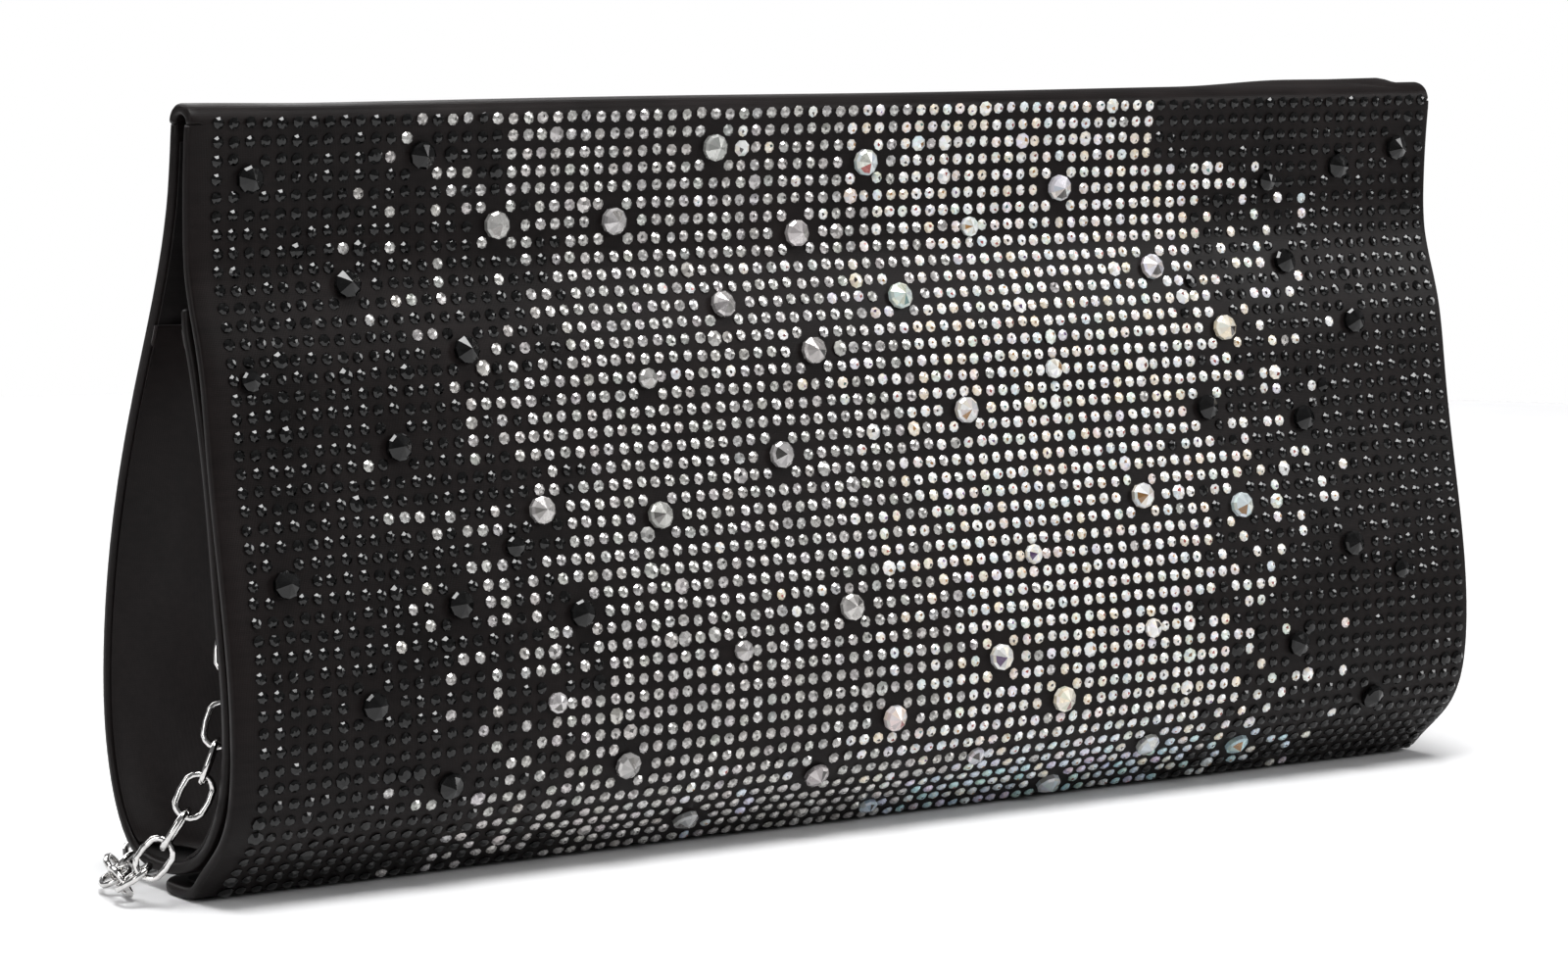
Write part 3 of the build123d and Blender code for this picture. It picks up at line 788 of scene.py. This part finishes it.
# ---- gussets -------------------------------------------------------------------------------
@dataclass
class Gusset:
    """One end's folded cloth, from the back panel in to its fold and out to the front panel."""

    side: int
    edge_x: float = 132.3 * MM
    foot_z: float = 6.5 * MM
    hem_z: float = 93.5 * MM
    depth_top: float = 20.0 * MM
    depth_foot: float = 6.0 * MM
    wall: float = 0.5 * MM
    hem: float = 3.4 * MM
    fold_from_front: float = 2.0 * MM
    belly_share: float = 0.25
    belly_reach: float = 0.62
    fold_share: float = 0.68
    clearance: float = 0.35 * MM
    cells_across: int = 40
    cells_along: int = 90

    def inner_y(self, heights: Array, back: bool) -> Array:
        """Where the body's inner face is at each height, on the back or the front panel."""
        places, _ = body_edge.at(body_edge.runs, -SHELL.layers)
        lowest = int(np.argmin(places[:, 1]))
        stretch = places[:lowest][::-1] if back else places[lowest:]
        order = np.argsort(stretch[:, 1])
        return np.interp(heights, stretch[order, 1], stretch[order, 0])

    def place(self, across: Array, along: Array) -> Array:
        """Points of the cloth, from its back edge to its front edge, upwards."""
        z = self.foot_z + (self.hem_z - self.foot_z) * along
        back = self.inner_y(z, True) - self.clearance
        front = self.inner_y(z, False) + self.clearance
        depth = self.depth_foot + (self.depth_top - self.depth_foot) * np.sqrt(along)
        first = np.stack([np.full_like(z, self.edge_x), back], axis=1)
        belly_y = back - self.belly_share * (back - front)
        belly = np.stack([self.edge_x - self.belly_reach * depth, belly_y], axis=1)
        fold = np.stack([self.edge_x - depth, front + self.fold_from_front], axis=1)
        last = np.stack([np.full_like(z, self.edge_x), front], axis=1)
        inward = np.clip(across / self.fold_share, 0, 1)[:, None]
        outward = np.clip((across - self.fold_share) / (1 - self.fold_share), 0, 1)[:, None]
        handle = 2 * belly - (first + fold) / 2
        pull = 0.75 * belly + 0.25 * handle
        billow = (1 - inward) ** 2 * first + 2 * inward * (1 - inward) * pull + inward**2 * fold
        flat = billow + outward * (last - fold)
        ripple = 0.25 * MM * np.sin(z * 190.0 + across * 9.0) * np.sin(math.pi * across)
        seam = np.exp(-(((z - self.hem_z + self.hem) / (0.4 * MM)) ** 2)) * 0.22 * MM
        x = self.side * (flat[:, 0] + ripple - seam)
        return np.c_[x, flat[:, 1], z]

    def widest_run(self) -> float:
        """The cloth's width unfolded, at the height where it is widest."""
        across = np.linspace(0.0, 1.0, 200)
        widest = 0.0
        for share in np.linspace(0.0, 1.0, 60):
            points = self.place(across, np.full_like(across, share))
            widest = max(widest, float(np.linalg.norm(np.diff(points, axis=0), axis=1).sum()))
        return widest

    def hem_band(self, word: str) -> Piece:
        """The turned band at the cloth's free top edge, in a lighter copy of the satin that paints sheen on
        it.
        """
        share = self.hem / (self.hem_z - self.foot_z)

        def place(across: Array, along: Array) -> Array:
            """Lays the cloth out from its two shares."""
            points = self.place(across, 1.0 - share + share * along)
            points[:, 0] += self.side * 0.34 * MM
            return points

        piece = sheet_grid(f"{word}_gusset_hem", self.cells_across, 8, place)
        thicken(piece, -self.side * 0.3 * MM)
        smooth(piece)
        # The hem takes the lighter satin copy, its painted sheen.
        return dress(piece, finishes["hem"], Slot.SATIN, Body.BAG)

    def build(self) -> Piece:
        """The gusset with its hem."""
        word = end_word(self.side)
        piece = sheet_grid(f"{word}_gusset_cloth", self.cells_across, self.cells_along, self.place)
        thicken(piece, self.side * self.wall)
        smooth(piece, 60)
        dress(piece, finishes["satin"], Slot.SATIN, Body.BAG, f"{word}_gusset")
        hem = self.hem_band(word)
        flat = (self.widest_run(), self.hem_z - self.foot_z)
        return piece


# ---- chain ends ----------------------------------------------------------------------------
@dataclass
class ChainTab:
    """The satin loop sewn to the back lining that holds one chain ring."""

    side: int
    width: float = 6.0 * MM
    wall: float = 0.45 * MM
    loop: float = 1.25 * MM
    length: float = 12.0 * MM
    standoff: float = 3.0 * MM

    def centre_line(self) -> Array:
        """The strip's path up the lining, round the ring's bar and back down, as up and off."""
        arc = np.linspace(-0.5 * math.pi, 1.25 * math.pi, 22)
        turn = np.c_[self.loop * np.cos(arc), self.standoff + self.loop * np.sin(arc)]
        rising = [(-self.length, 0.35 * MM), (-0.6 * self.length, 0.4 * MM), (-0.25 * self.length, 0.9 * MM)]
        falling = [(-0.4 * self.length, 1.9 * MM), (-0.7 * self.length, 1.0 * MM), (-self.length, 0.85 * MM)]
        return np.array([*rising, *turn.tolist(), *falling])

    def build(self) -> Piece:
        """The folded strip."""
        word = end_word(self.side)
        middle_x, bar_y, bar_z = joint_place(f"{word}_ring_swing")
        run = body_edge.run_at_height(bar_z)
        _, outward = body_edge.at(np.array([run]))
        off = -outward[0]
        up = np.array([-off[1], off[0]]) * (1 if off[0] > 0 else -1)
        line = self.centre_line()
        runs = run_lengths(line)

        def place(across: Array, along: Array) -> Array:
            """Lays the cloth out from its two shares."""
            at = along * runs[-1]
            rise, stand = np.interp(at, runs, line[:, 0]), np.interp(at, runs, line[:, 1]) - self.standoff
            x = middle_x + self.width * (across - 0.5)
            return np.c_[x, bar_y + rise * up[0] + stand * off[0], bar_z + rise * up[1] + stand * off[1]]

        piece = sheet_grid(f"{word}_chain_tab_strip", 8, 60, place)
        apply_modifier(piece, "SOLIDIFY", thickness=self.wall, offset=0.0)
        smooth(piece)
        return dress(piece, finishes["satin"], Slot.SATIN, Body.BAG, f"{word}_chain_tab")


# ---- crystals ------------------------------------------------------------------------------
@dataclass(frozen=True)
class Cut:
    """A stone's cut: straight girdle, sloping crown, and a table raised to a point."""

    radius: float
    facets: int
    seat: float
    girdle: float
    crown: float
    table: float
    point: float

    def template(self) -> Piece:
        """One stone at the origin, its back down."""
        bpy.ops.object.select_all(action="DESELECT")
        middle = (0, 0, self.seat + self.girdle / 2)
        bpy.ops.mesh.primitive_cylinder_add(
            vertices=self.facets, radius=self.radius, depth=self.girdle, location=middle, end_fill_type="NGON"
        )
        bpy.ops.object.transform_apply(location=True, rotation=True, scale=True)
        stone = named("stone")
        bpy.ops.object.mode_set(mode="EDIT")
        bpy.ops.mesh.select_mode(type="FACE")
        mesh = bmesh.from_edit_mesh(stone.data)
        for face in mesh.faces:
            face.select_set(face.normal.z > 0.9)
        bmesh.update_edit_mesh(stone.data)
        bpy.ops.mesh.extrude_region_move(TRANSFORM_OT_translate={"value": (0, 0, self.crown)})
        bpy.ops.transform.resize(value=(self.table, self.table, 1))
        bpy.ops.mesh.poke(offset=self.point)
        bpy.ops.object.mode_set(mode="OBJECT")
        return stone


class Tint(Enum):
    """The colours of stones."""

    JET = "jet"
    SILVER = "silver"
    AURORA = "aurora"


@dataclass
class Crystals:
    """The flap's stones: a close grid of small ones, with larger pointed ones among them."""

    column_pitch: float = 2.912 * MM
    row_pitch: float = 3.0 * MM
    first_run: float = -0.2 * MM
    first_column: int = -44
    last_column: int = 45
    last_row: int = 44
    seed: int = 7
    column_jitter: float = 0.09 * MM
    row_jitter: float = 0.08 * MM
    bigger_share: float = 0.028
    bigger_scale: float = 1.38

    def __post_init__(self) -> None:
        """Starts the seeded random draws and reads the large stones from the frame."""
        self.random = np.random.default_rng(self.seed)
        self.small = Cut(1.02 * MM, 8, 0.02 * MM, 0.16 * MM, 0.36 * MM, 0.56, 0.07 * MM)
        self.large = Cut(2.35 * MM, 10, 0.1 * MM, 0.85 * MM, 0.35 * MM, 0.82, 1.0 * MM)
        self.medium = Cut(1.8 * MM, 10, 0.1 * MM, 0.6 * MM, 0.3 * MM, 0.78, 0.65 * MM)
        self.big = {tint: self.stones_of(f"{tint.value}_crystals") for tint in Tint}

    def stones_of(self, node: str) -> Array:
        """Each large stone of a node, as its x, its distance along the flap and its radius."""
        mesh = node_mesh(node)
        left, found = set(mesh.verts), []
        while left:
            island, todo = [], [left.pop()]
            while todo:
                corner = todo.pop()
                island.append(corner.co.copy())
                for edge in corner.link_edges:
                    other = edge.other_vert(corner)
                    if other in left:
                        left.discard(other)
                        todo.append(other)
            points = np.array(island)
            low, high = points.min(0), points.max(0)
            middle = (low + high) / 2
            gaps = np.linalg.norm(flap_edge.points - middle[1:], axis=1)
            found.append((middle[0], flap_edge.runs[int(np.argmin(gaps))], (high[0] - low[0]) / 2))
        mesh.free()
        return np.array(sorted(found))

    def grid(self) -> tuple[Array, Array, Array, Array]:
        """The small stones' rows and columns, clear of the large stones, with their places."""
        every_column = np.arange(self.first_column, self.last_column + 1)
        rows, columns = np.meshgrid(np.arange(self.last_row + 1), every_column)
        rows, columns = rows.ravel(), columns.ravel()
        x = columns * self.column_pitch + self.random.normal(0, self.column_jitter, rows.size)
        run = self.first_run + rows * self.row_pitch + self.random.normal(0, self.row_jitter, rows.size)
        free = np.ones(rows.size, bool)
        for x0, run0, radius in np.concatenate(list(self.big.values())):
            free &= np.hypot(x - x0, run - run0) > radius + 0.95 * MM
        return rows[free], columns[free], x[free], run[free]

    def tints(self, rows: Array, columns: Array) -> Array:
        """Each small stone's tint, from ragged bands across the flap.

        Args:
            rows: Row of each stone, from the top.
            columns: Column of each stone, from the middle.

        Returns:
            An array of tints.
        """
        draw = self.random.random(rows.size)
        wander = 1.6 * np.sin(rows * 0.55) + 1.0 * np.sin(rows * 1.7 + 1.0)
        left = np.clip((columns + 37 + 0.4 * wander) / 15.0, 0, 1)
        left = np.where(left < 1, 0.06 + 0.8 * left**1.7, 1.0) * (columns > -37)
        right = np.clip((37 + 0.5 * wander - columns) / 14.0, 0, 1)
        right = np.where(right < 1, 0.06 + 0.75 * right**1.5, 1.0) * (columns < 37)
        crisp = (rows < 4) & (columns > 22)
        bright = (draw < left * right) & ~crisp
        share = ease((columns + 5 + 0.8 * wander) / 13.0)
        second = self.random.random(rows.size)
        aurora = second < np.clip(share + 0.05 * (columns > -16), 0, 0.985)
        return np.where(bright, np.where(aurora, Tint.AURORA, Tint.SILVER), Tint.JET)

    def seats(self, x: Array, run: Array, spin: float, tilt: float) -> tuple[Array, Array]:
        """Axes and places for stones lying on the flap's satin.

        Args:
            x: Where each stone is along the bag.
            run: Where each stone is along the flap.
            spin: How far a stone may turn about its own axis.
            tilt: The spread of a stone's lean.

        Returns:
            Axes as columns, and places.
        """
        places, outward = flap_edge.at(run, unevenness(x, run))
        count = len(x)
        normal = np.c_[np.zeros(count), outward]
        normal = normal + self.random.normal(0, tilt, (count, 3))
        normal = unit(normal)
        across = unit(np.cross(np.c_[np.zeros(count), outward[:, 1], -outward[:, 0]], normal))
        down = np.cross(normal, across)
        turn = self.random.uniform(-spin, spin, count)[:, None]
        first = across * np.cos(turn) + down * np.sin(turn)
        return np.stack([first, np.cross(normal, first), normal], axis=2), np.c_[x, places]

    def tones(self, tint: Tint, cut: Cut, rows: Array, faces: int) -> Array:
        """Each facet's colour, with painted reflections: a brightness for each stone and each facet, and dark
        spots in the table.

        Args:
            tint: The stones' tint.
            cut: The stones' cut; the last facets of a stone are its table's.
            rows: Each stone's row.
            faces: Faces of one stone.

        Returns:
            Colours by stone, face and channel.
        """
        count = len(rows)
        if tint is Tint.JET:
            grey = self.random.uniform(0.0008, 0.005, (count, faces, 1))
            return np.repeat(grey, 3, axis=2)
        # Painted reflections: each stone and each facet gets its own brightness, standing in for the light
        # that the facets catch.
        own = self.random.uniform(0.8, 1.0, (count, 1, 1))
        dullest = {Tint.SILVER: 0.55, Tint.AURORA: 0.8 if cut is self.small else 0.55}[tint]
        facet = self.random.uniform(dullest, 1.0, (count, faces, 1))
        warm = self.random.normal(0, 0.006, (count, 1, 3))
        base = np.array([0.6, 0.585, 0.565]) if tint is Tint.SILVER else np.array([0.84, 0.84, 0.83])
        colours = base * own * facet + warm
        if tint is Tint.AURORA:
            colours = self.aurora_tints(colours, rows)
        # Painted reflections: one or two table facets take the dark reflected spot.
        spot = self.random.integers(0, cut.facets, count)
        darkness = self.random.uniform(0.05, 0.4, count)
        dark = self.dark_tones(tint, darkness)
        table = faces - cut.facets
        for step in range(2):
            shown = self.random.random(count) < (0.9 if step == 0 else 0.75)
            which = table + (spot + step) % cut.facets
            picked = np.flatnonzero(shown)
            colours[picked, which[picked]] = dark[picked]
        return np.clip(colours, 0.004, 1.0)

    def aurora_tints(self, colours: Array, rows: Array) -> Array:
        """Pastel casts for coated stones. They are partly the coating's own tint and partly a painted
        reflection of its colour play. They are cooler towards the foot of the flap, which is a painted
        reflection of the coating seen at that angle.
        """
        count, faces, _ = colours.shape
        casts = np.array([
            [1, 1, 1], [1, 0.93, 0.82], [0.93, 1, 0.95], [0.94, 0.92, 1], [0.88, 0.96, 1], [1, 0.91, 0.9],
        ])
        stone = casts[self.random.choice(len(casts), count, p=[0.62, 0.14, 0.06, 0.06, 0.06, 0.06])]
        facet = casts[self.random.choice(len(casts), (count, faces), p=[0.5, 0.26, 0.06, 0.06, 0.06, 0.06])]
        # Painted reflection: rows near the foot of the flap take a cooler, bluer cast, as the coating looks
        # there at its angle.
        painted_cool_share = ease((rows - 36.5) / 6.0)[:, None, None]
        blues = np.array([[0.72, 0.84, 1.0], [0.55, 0.86, 0.95], [0.78, 0.76, 1.0], [0.9, 0.97, 1.0]])
        foot = blues[self.random.choice(4, count, p=[0.35, 0.2, 0.2, 0.25])][:, None, :]
        return colours * stone[:, None, :] * facet * (1 - painted_cool_share + painted_cool_share * foot)

    def dark_tones(self, tint: Tint, darkness: Array) -> Array:
        """The small dark reflections seen in the table, coloured on coated stones."""
        if tint is Tint.SILVER:
            return darkness[:, None] * np.array([0.9, 0.86, 0.82])
        casts = np.array([
            [0.6, 0.12, 0.1], [0.7, 0.36, 0.12], [0.3, 0.16, 0.4], [0.1, 0.08, 0.07], [0.16, 0.36, 0.34],
        ])
        chosen = casts[self.random.choice(len(casts), len(darkness), p=[0.26, 0.3, 0.06, 0.34, 0.04])]
        return chosen * (0.12 + darkness)[:, None]

    def small_stones(self) -> None:
        """The grid of small stones, one piece for each tint."""
        rows, columns, x, run = self.grid()
        tints = self.tints(rows, columns)
        nodes = {Tint.JET: ("crystal_mesh",), Tint.SILVER: (), Tint.AURORA: ()}
        for tint in Tint:
            chosen = tints == tint
            axes, places = self.seats(x[chosen], run[chosen], math.pi, 0.07)
            grown = np.where(self.random.random(chosen.sum()) < self.bigger_share, self.bigger_scale, 1.0)
            axes = axes * self.random.normal(1.0, 0.02, chosen.sum())[:, None, None] * grown[:, None, None]
            template = self.small.template()
            tones = self.tones(tint, self.small, rows[chosen], len(template.data.polygons))
            piece = scattered(f"small_{tint.value}_stones", template, axes, places, tones)
            dress(piece, finishes[tint.value], Slot.SMALL, Body.FLAP, *nodes[tint])

    def large_stones(self) -> None:
        """The pointed stones, one piece for each tint and size."""
        for tint, stones in self.big.items():
            slot = {Tint.JET: Slot.JET, Tint.SILVER: Slot.SILVER, Tint.AURORA: Slot.AURORA}[tint]
            border = (self.large.radius + self.medium.radius) / 2
            for word, cut in (("large", self.large), ("medium", self.medium)):
                chosen = (stones[:, 2] > border) == (word == "large")
                x, run = stones[chosen, 0], stones[chosen, 1]
                axes, places = self.seats(x, run, math.pi, 0.03)
                template = cut.template()
                rows = (run - self.first_run) / self.row_pitch
                tones = self.tones(tint, cut, rows, len(template.data.polygons))
                piece = scattered(f"{word}_{tint.value}_stones", template, axes, places, tones)
                nodes = (f"{tint.value}_crystals",) if word == "large" else ()
                dress(piece, finishes[tint.value], slot, Body.FLAP, *nodes)

    def build(self) -> None:
        """Builds every stone."""
        self.small_stones()
        self.large_stones()


# ---- chain ---------------------------------------------------------------------------------
@dataclass
class Chain:
    """The drop-in link chain: out at the left foot, a tied hank behind, and back up the right."""

    length: float = 1.05
    diameter: float = 5.6 * MM
    pitch: float = 6.15 * MM
    wire: float = 0.575 * MM
    bow: float = 2.5 * MM
    straight: float = 1.2 * MM
    hank_y: float = 50.0 * MM
    hank_run: float = 39.0 * MM
    hank_fold: float = 17.0 * MM
    layer: float = 5.2 * MM
    turned: float = 0.12
    seed: int = 11

    LEFT = (
        (-115.4, 0.2, 97.4), (-120.0, -0.2, 98.8), (-124.2, 0.0, 95.4), (-125.0, 0.2, 87.5),
        (-124.6, -3.4, 74.0), (-125.0, -7.4, 60.0), (-126.5, -10.0, 46.5), (-128.8, -12.0, 34.5),
        (-131.8, -12.8, 25.5), (-135.4, -12.2, 17.8), (-139.2, -10.2, 10.8), (-142.4, -6.4, 5.0),
        (-142.8, -0.2, 2.8), (-140.4, 6.2, 2.7), (-137.4, 12.6, 2.7), (-132.4, 19.0, 2.7),
        (-123.5, 23.6, 2.7), (-109.0, 27.2, 2.7), (-93.0, 30.0, 2.7), (-76.0, 32.2, 2.8),
        (-60.0, 33.1, 3.1), (-46.0, 33.2, 3.2),
    )
    RIGHT = (
        (46.0, 33.2, 13.4), (62.0, 33.6, 10.6), (78.0, 35.4, 5.2), (94.0, 36.8, 2.8),
        (110.0, 34.6, 2.7), (124.0, 29.6, 2.7), (134.6, 22.6, 2.7), (140.4, 14.6, 4.0),
        (140.4, 8.4, 9.4), (136.6, 4.8, 16.4), (132.0, 2.0, 24.4), (129.0, -0.6, 34.0),
        (127.4, -2.6, 46.0), (126.0, -3.6, 60.0), (124.8, -2.8, 74.0), (125.0, 0.2, 87.5),
        (124.2, 0.0, 95.4), (120.0, -0.2, 98.8), (115.4, 0.2, 97.4),
    )

    def hank(self) -> list[tuple[float, float, float]]:
        """The route's points round the put-away turns, a layer higher after each left fold."""
        points = []
        z = 3.0 * MM
        for turn in range(3):
            reach = self.hank_run + (-0.8, 0.9, 0.0)[turn] * MM
            fold = self.hank_fold / math.cos(math.pi / 8) * (1.0, 0.985, 1.0)[turn]
            front = [(share * reach, self.hank_y - self.hank_fold, z) for share in (-1, -0.35, 0.35, 1)]
            points += front
            if turn == 2:
                break
            for step in range(4):
                angle = math.radians(-67.5 + 45 * step)
                points.append((reach + fold * math.cos(angle), self.hank_y + fold * math.sin(angle), z))
            points += [(share * reach, self.hank_y + self.hank_fold, z) for share in (1, 0.35, -0.35, -1)]
            for step in range(4):
                angle = math.radians(112.5 + 45 * step)
                rise = self.layer * (step + 0.5) / 4
                y = self.hank_y + fold * math.sin(angle)
                points.append((-reach + fold * math.cos(angle), y, z + rise))
            z += self.layer
        return points

    def path(self) -> Array:
        """The chain's smooth centre line, read from its route's own spline."""
        left = [tuple(v * MM for v in point) for point in self.LEFT]
        right = [tuple(v * MM for v in point) for point in self.RIGHT]
        route = [*left, *self.hank(), *right]
        curve = bpy.data.curves.new("chain_route", "CURVE")
        curve.dimensions = "3D"
        spline = curve.splines.new("NURBS")
        spline.points.add(len(route) - 1)
        for point, place in zip(spline.points, route):
            point.co = (*place, 1.0)
        spline.order_u = 3
        spline.use_endpoint_u = True
        spline.resolution_u = 12
        holder = bpy.data.objects.new("chain_route", curve)
        bpy.context.scene.collection.objects.link(holder)
        mesh = bpy.data.meshes.new_from_object(holder)
        points = np.array([vertex.co for vertex in mesh.vertices])
        bpy.data.objects.remove(holder)
        bpy.data.meshes.remove(mesh)
        return points

    def link(self) -> Piece:
        """One oval link at the origin, long along X, lying in the XY plane."""
        bpy.ops.object.select_all(action="DESELECT")
        bpy.ops.mesh.primitive_torus_add(
            major_segments=16, minor_segments=6, major_radius=self.bow, minor_radius=self.wire
        )
        piece = named("link")
        for way in (-1, 1):
            bpy.ops.object.mode_set(mode="EDIT")
            mesh = bmesh.from_edit_mesh(piece.data)
            for corner in mesh.verts:
                corner.select_set(corner.co.x * way > 1e-5)
            mesh.select_flush_mode()
            bmesh.update_edit_mesh(piece.data)
            bpy.ops.transform.translate(value=(way * self.straight, 0, 0))
            bpy.ops.object.mode_set(mode="OBJECT")
        return piece

    def build(self) -> Piece:
        """The links along the path, with the ribbon that ties the hank."""
        path = self.path()
        runs = run_lengths(path)
        count = int(round(runs[-1] / self.pitch))
        step = runs[-1] / count
        marks = np.arange(count + 1) * step
        knots = np.stack([np.interp(marks, runs, path[:, i]) for i in range(3)], axis=1)
        ways = unit(np.diff(knots, axis=0))
        middles = (knots[1:] + knots[:-1]) / 2
        facing = np.array([0.55, 0.82, -0.1])
        lying = ease((12 * MM - middles[:, 2]) / (8 * MM))[:, None]
        hint = facing * (1 - lying) + np.array([0.3, 0.0, 1.0]) * lying
        normal = unit(hint - ways * (hint * ways).sum(1)[:, None])
        sideways = np.cross(ways, normal)
        wobble = np.random.default_rng(self.seed).normal(0, self.turned, count)
        turn = np.arange(count) % 2 * math.pi / 2 + lying[:, 0] * math.pi / 4 + wobble
        turn = turn[:, None]
        face = normal * np.cos(turn) + sideways * np.sin(turn)
        axes = np.stack([ways, np.cross(face, ways), face], axis=2)
        piece = scattered("chain_links", self.link(), axes, middles)
        smooth(piece, 80)
        dress(piece, finishes["chain"], Slot.CHAIN, Body.BAG, "chain_left", "chain_hank", "chain_right")
        tie = self.tie()
        LOG.info("chain: %.3f m, %d links", runs[-1], count)
        return piece

    def tie(self) -> Piece:
        """The ribbon round the middle of the hank, as a closed band."""
        low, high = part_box("hank_tie")
        half_y, half_z = (high.y - low.y) / 2 - 0.2 * MM, (high.z - low.z) / 2 - 0.2 * MM
        middle_y, middle_z = (high.y + low.y) / 2, (high.z + low.z) / 2
        width = high.x - low.x

        def place(across: Array, along: Array) -> Array:
            """Lays the cloth out from its two shares."""
            angle = 2 * math.pi * along
            y, z = np.cos(angle), np.sin(angle)
            size = (np.abs(y) ** 8 + np.abs(z) ** 8) ** (-1 / 8)
            pinch = 1 - 0.12 * np.abs(y) ** 2
            x = width * (across - 0.5) * pinch
            return np.c_[x, middle_y + half_y * y * size, middle_z + half_z * z * size]

        piece = sheet_grid("hank_ribbon", 8, 160, place)
        activate(piece)
        bpy.ops.object.mode_set(mode="EDIT")
        bpy.ops.mesh.select_all(action="SELECT")
        bpy.ops.mesh.remove_doubles(threshold=0.00002)
        bpy.ops.mesh.normals_make_consistent(inside=False)
        bpy.ops.object.mode_set(mode="OBJECT")
        thicken(piece, 0.3 * MM)
        smooth(piece)
        return dress(piece, finishes["ribbon"], Slot.RIBBON, Body.BAG, "hank_tie")


# ---- carried-over nodes --------------------------------------------------------------------
def dress_nodes() -> None:
    """Gives the frame's own boards, snap and rings their finishes."""
    groups = {
        "board": ("back_board", "base_board", "front_board", "flap_board"),
        "nickel": ("snap_socket", "snap_socket_washer", "snap_stud", "snap_stud_washer"),
        "chain": ("left_chain_ring", "right_chain_ring", "left_jump_ring", "right_jump_ring"),
    }
    for finish, nodes in groups.items():
        for node in nodes:
            piece = frame["nodes"][node]
            piece.data.materials.clear()
            piece.data.materials.append(finishes[finish])
            LOG.info("%s keeps its shape", node)


# ---- studio --------------------------------------------------------------------------------
@dataclass
class Studio:
    """Camera, floor and soft lights."""

    azimuth: float = -34.85
    elevation: float = 6.606
    roll: float = 0.25
    distance: float = 0.85
    aim: tuple[float, float, float] = (-0.00163, 0.01334, 0.05755)
    lens: float = 107.67
    floor_radius: float = 0.82

    def camera(self) -> None:
        """The camera, at the bag's left front and a little above it."""
        azimuth, elevation = math.radians(self.azimuth), math.radians(self.elevation)
        level = math.cos(elevation)
        back = Vector((math.sin(azimuth) * level, -math.cos(azimuth) * level, math.sin(elevation)))
        camera = bpy.data.cameras.new("camera")
        camera.lens = self.lens
        camera.clip_start, camera.clip_end = 0.05, 50.0
        holder = bpy.data.objects.new("camera", camera)
        bpy.context.scene.collection.objects.link(holder)
        holder.location = Vector(self.aim) + back * self.distance
        holder.rotation_mode = "QUATERNION"
        turned = (-back).to_track_quat("-Z", "Y")
        holder.rotation_quaternion = Quaternion(back, math.radians(self.roll)) @ turned
        bpy.context.scene.camera = holder

    def floor(self) -> None:
        """A wide pale floor."""
        bpy.ops.object.select_all(action="DESELECT")
        bpy.ops.mesh.primitive_circle_add(vertices=96, radius=self.floor_radius, fill_type="NGON")
        floor = named("studio_floor")
        floor.data.materials.append(finishes["floor"])

    def light(self, name: str, place: Sequence[float], size: Sequence[float], power: float) -> None:
        """One soft box aimed at the bag."""
        data = bpy.data.lights.new(name, "AREA")
        data.shape = "RECTANGLE"
        data.size, data.size_y = size
        data.energy = power
        holder = bpy.data.objects.new(name, data)
        bpy.context.scene.collection.objects.link(holder)
        holder.location = place
        holder.rotation_mode = "QUATERNION"
        holder.rotation_quaternion = (Vector((0, 0, 0.06)) - Vector(place)).to_track_quat("-Z", "Y")

    def world(self) -> None:
        """White to look at, softer as a source, so that black satin stays black."""
        world = bpy.data.worlds.new("studio")
        bpy.context.scene.world = world
        world.use_nodes = True
        tree = world.node_tree
        background = tree.nodes["Background"]
        rays = tree.nodes.new("ShaderNodeLightPath")
        mix = tree.nodes.new("ShaderNodeMix")
        mix.data_type = "RGBA"
        mix.inputs["A"].default_value = (0.2, 0.2, 0.204, 1)
        mix.inputs["B"].default_value = (1, 1, 1, 1)
        tree.links.new(rays.outputs["Is Camera Ray"], mix.inputs["Factor"])
        tree.links.new(mix.outputs["Result"], background.inputs["Color"])

    def build(self) -> None:
        """Sets the studio."""
        self.world()
        self.floor()
        self.camera()
        self.light("overhead", (-0.1, -0.3, 1.25), (0.7, 0.6), 21.0)
        self.light("right_box", (1.1, -0.9, 0.7), (0.5, 0.7), 9.0)
        self.light("left_box", (-1.3, -0.2, 0.5), (0.4, 0.7), 4.5)
        self.light("back_box", (0.0, 1.3, 1.1), (1.8, 1.0), 22.0)
        bpy.context.scene.view_settings.view_transform = "Standard"


finishes = {
    "satin": SATIN.material(),
    "lining": LINING.material(),
    # hem: the satin lightened to paint sheen on the gusset hem
    "hem": HEM_PAINTED_SHEEN.material(),
    "ribbon": RIBBON.material(),
    "board": BOARD.material(),
    "nickel": NICKEL.material(),
    "chain": CHAIN_METAL.material(),
    "silver": CLEAR_GLASS.material(),
    "aurora": AURORA_GLASS.material(),
    "jet": JET_GLASS.material(),
    "floor": FLOOR.material(),
}


def main() -> None:
    """Builds the bag's pieces in order and sets the studio."""
    logging.basicConfig(level=logging.INFO, format="%(name)s %(message)s")
    Studio().build()
    Chain().build()
    BagBody().build()
    for side in (-1, 1):
        Gusset(side).build()
        ChainTab(side).build()
    Flap().build()
    TopFold().build()
    Crystals().build()
    dress_nodes()


if __name__ == "__main__":
    main()
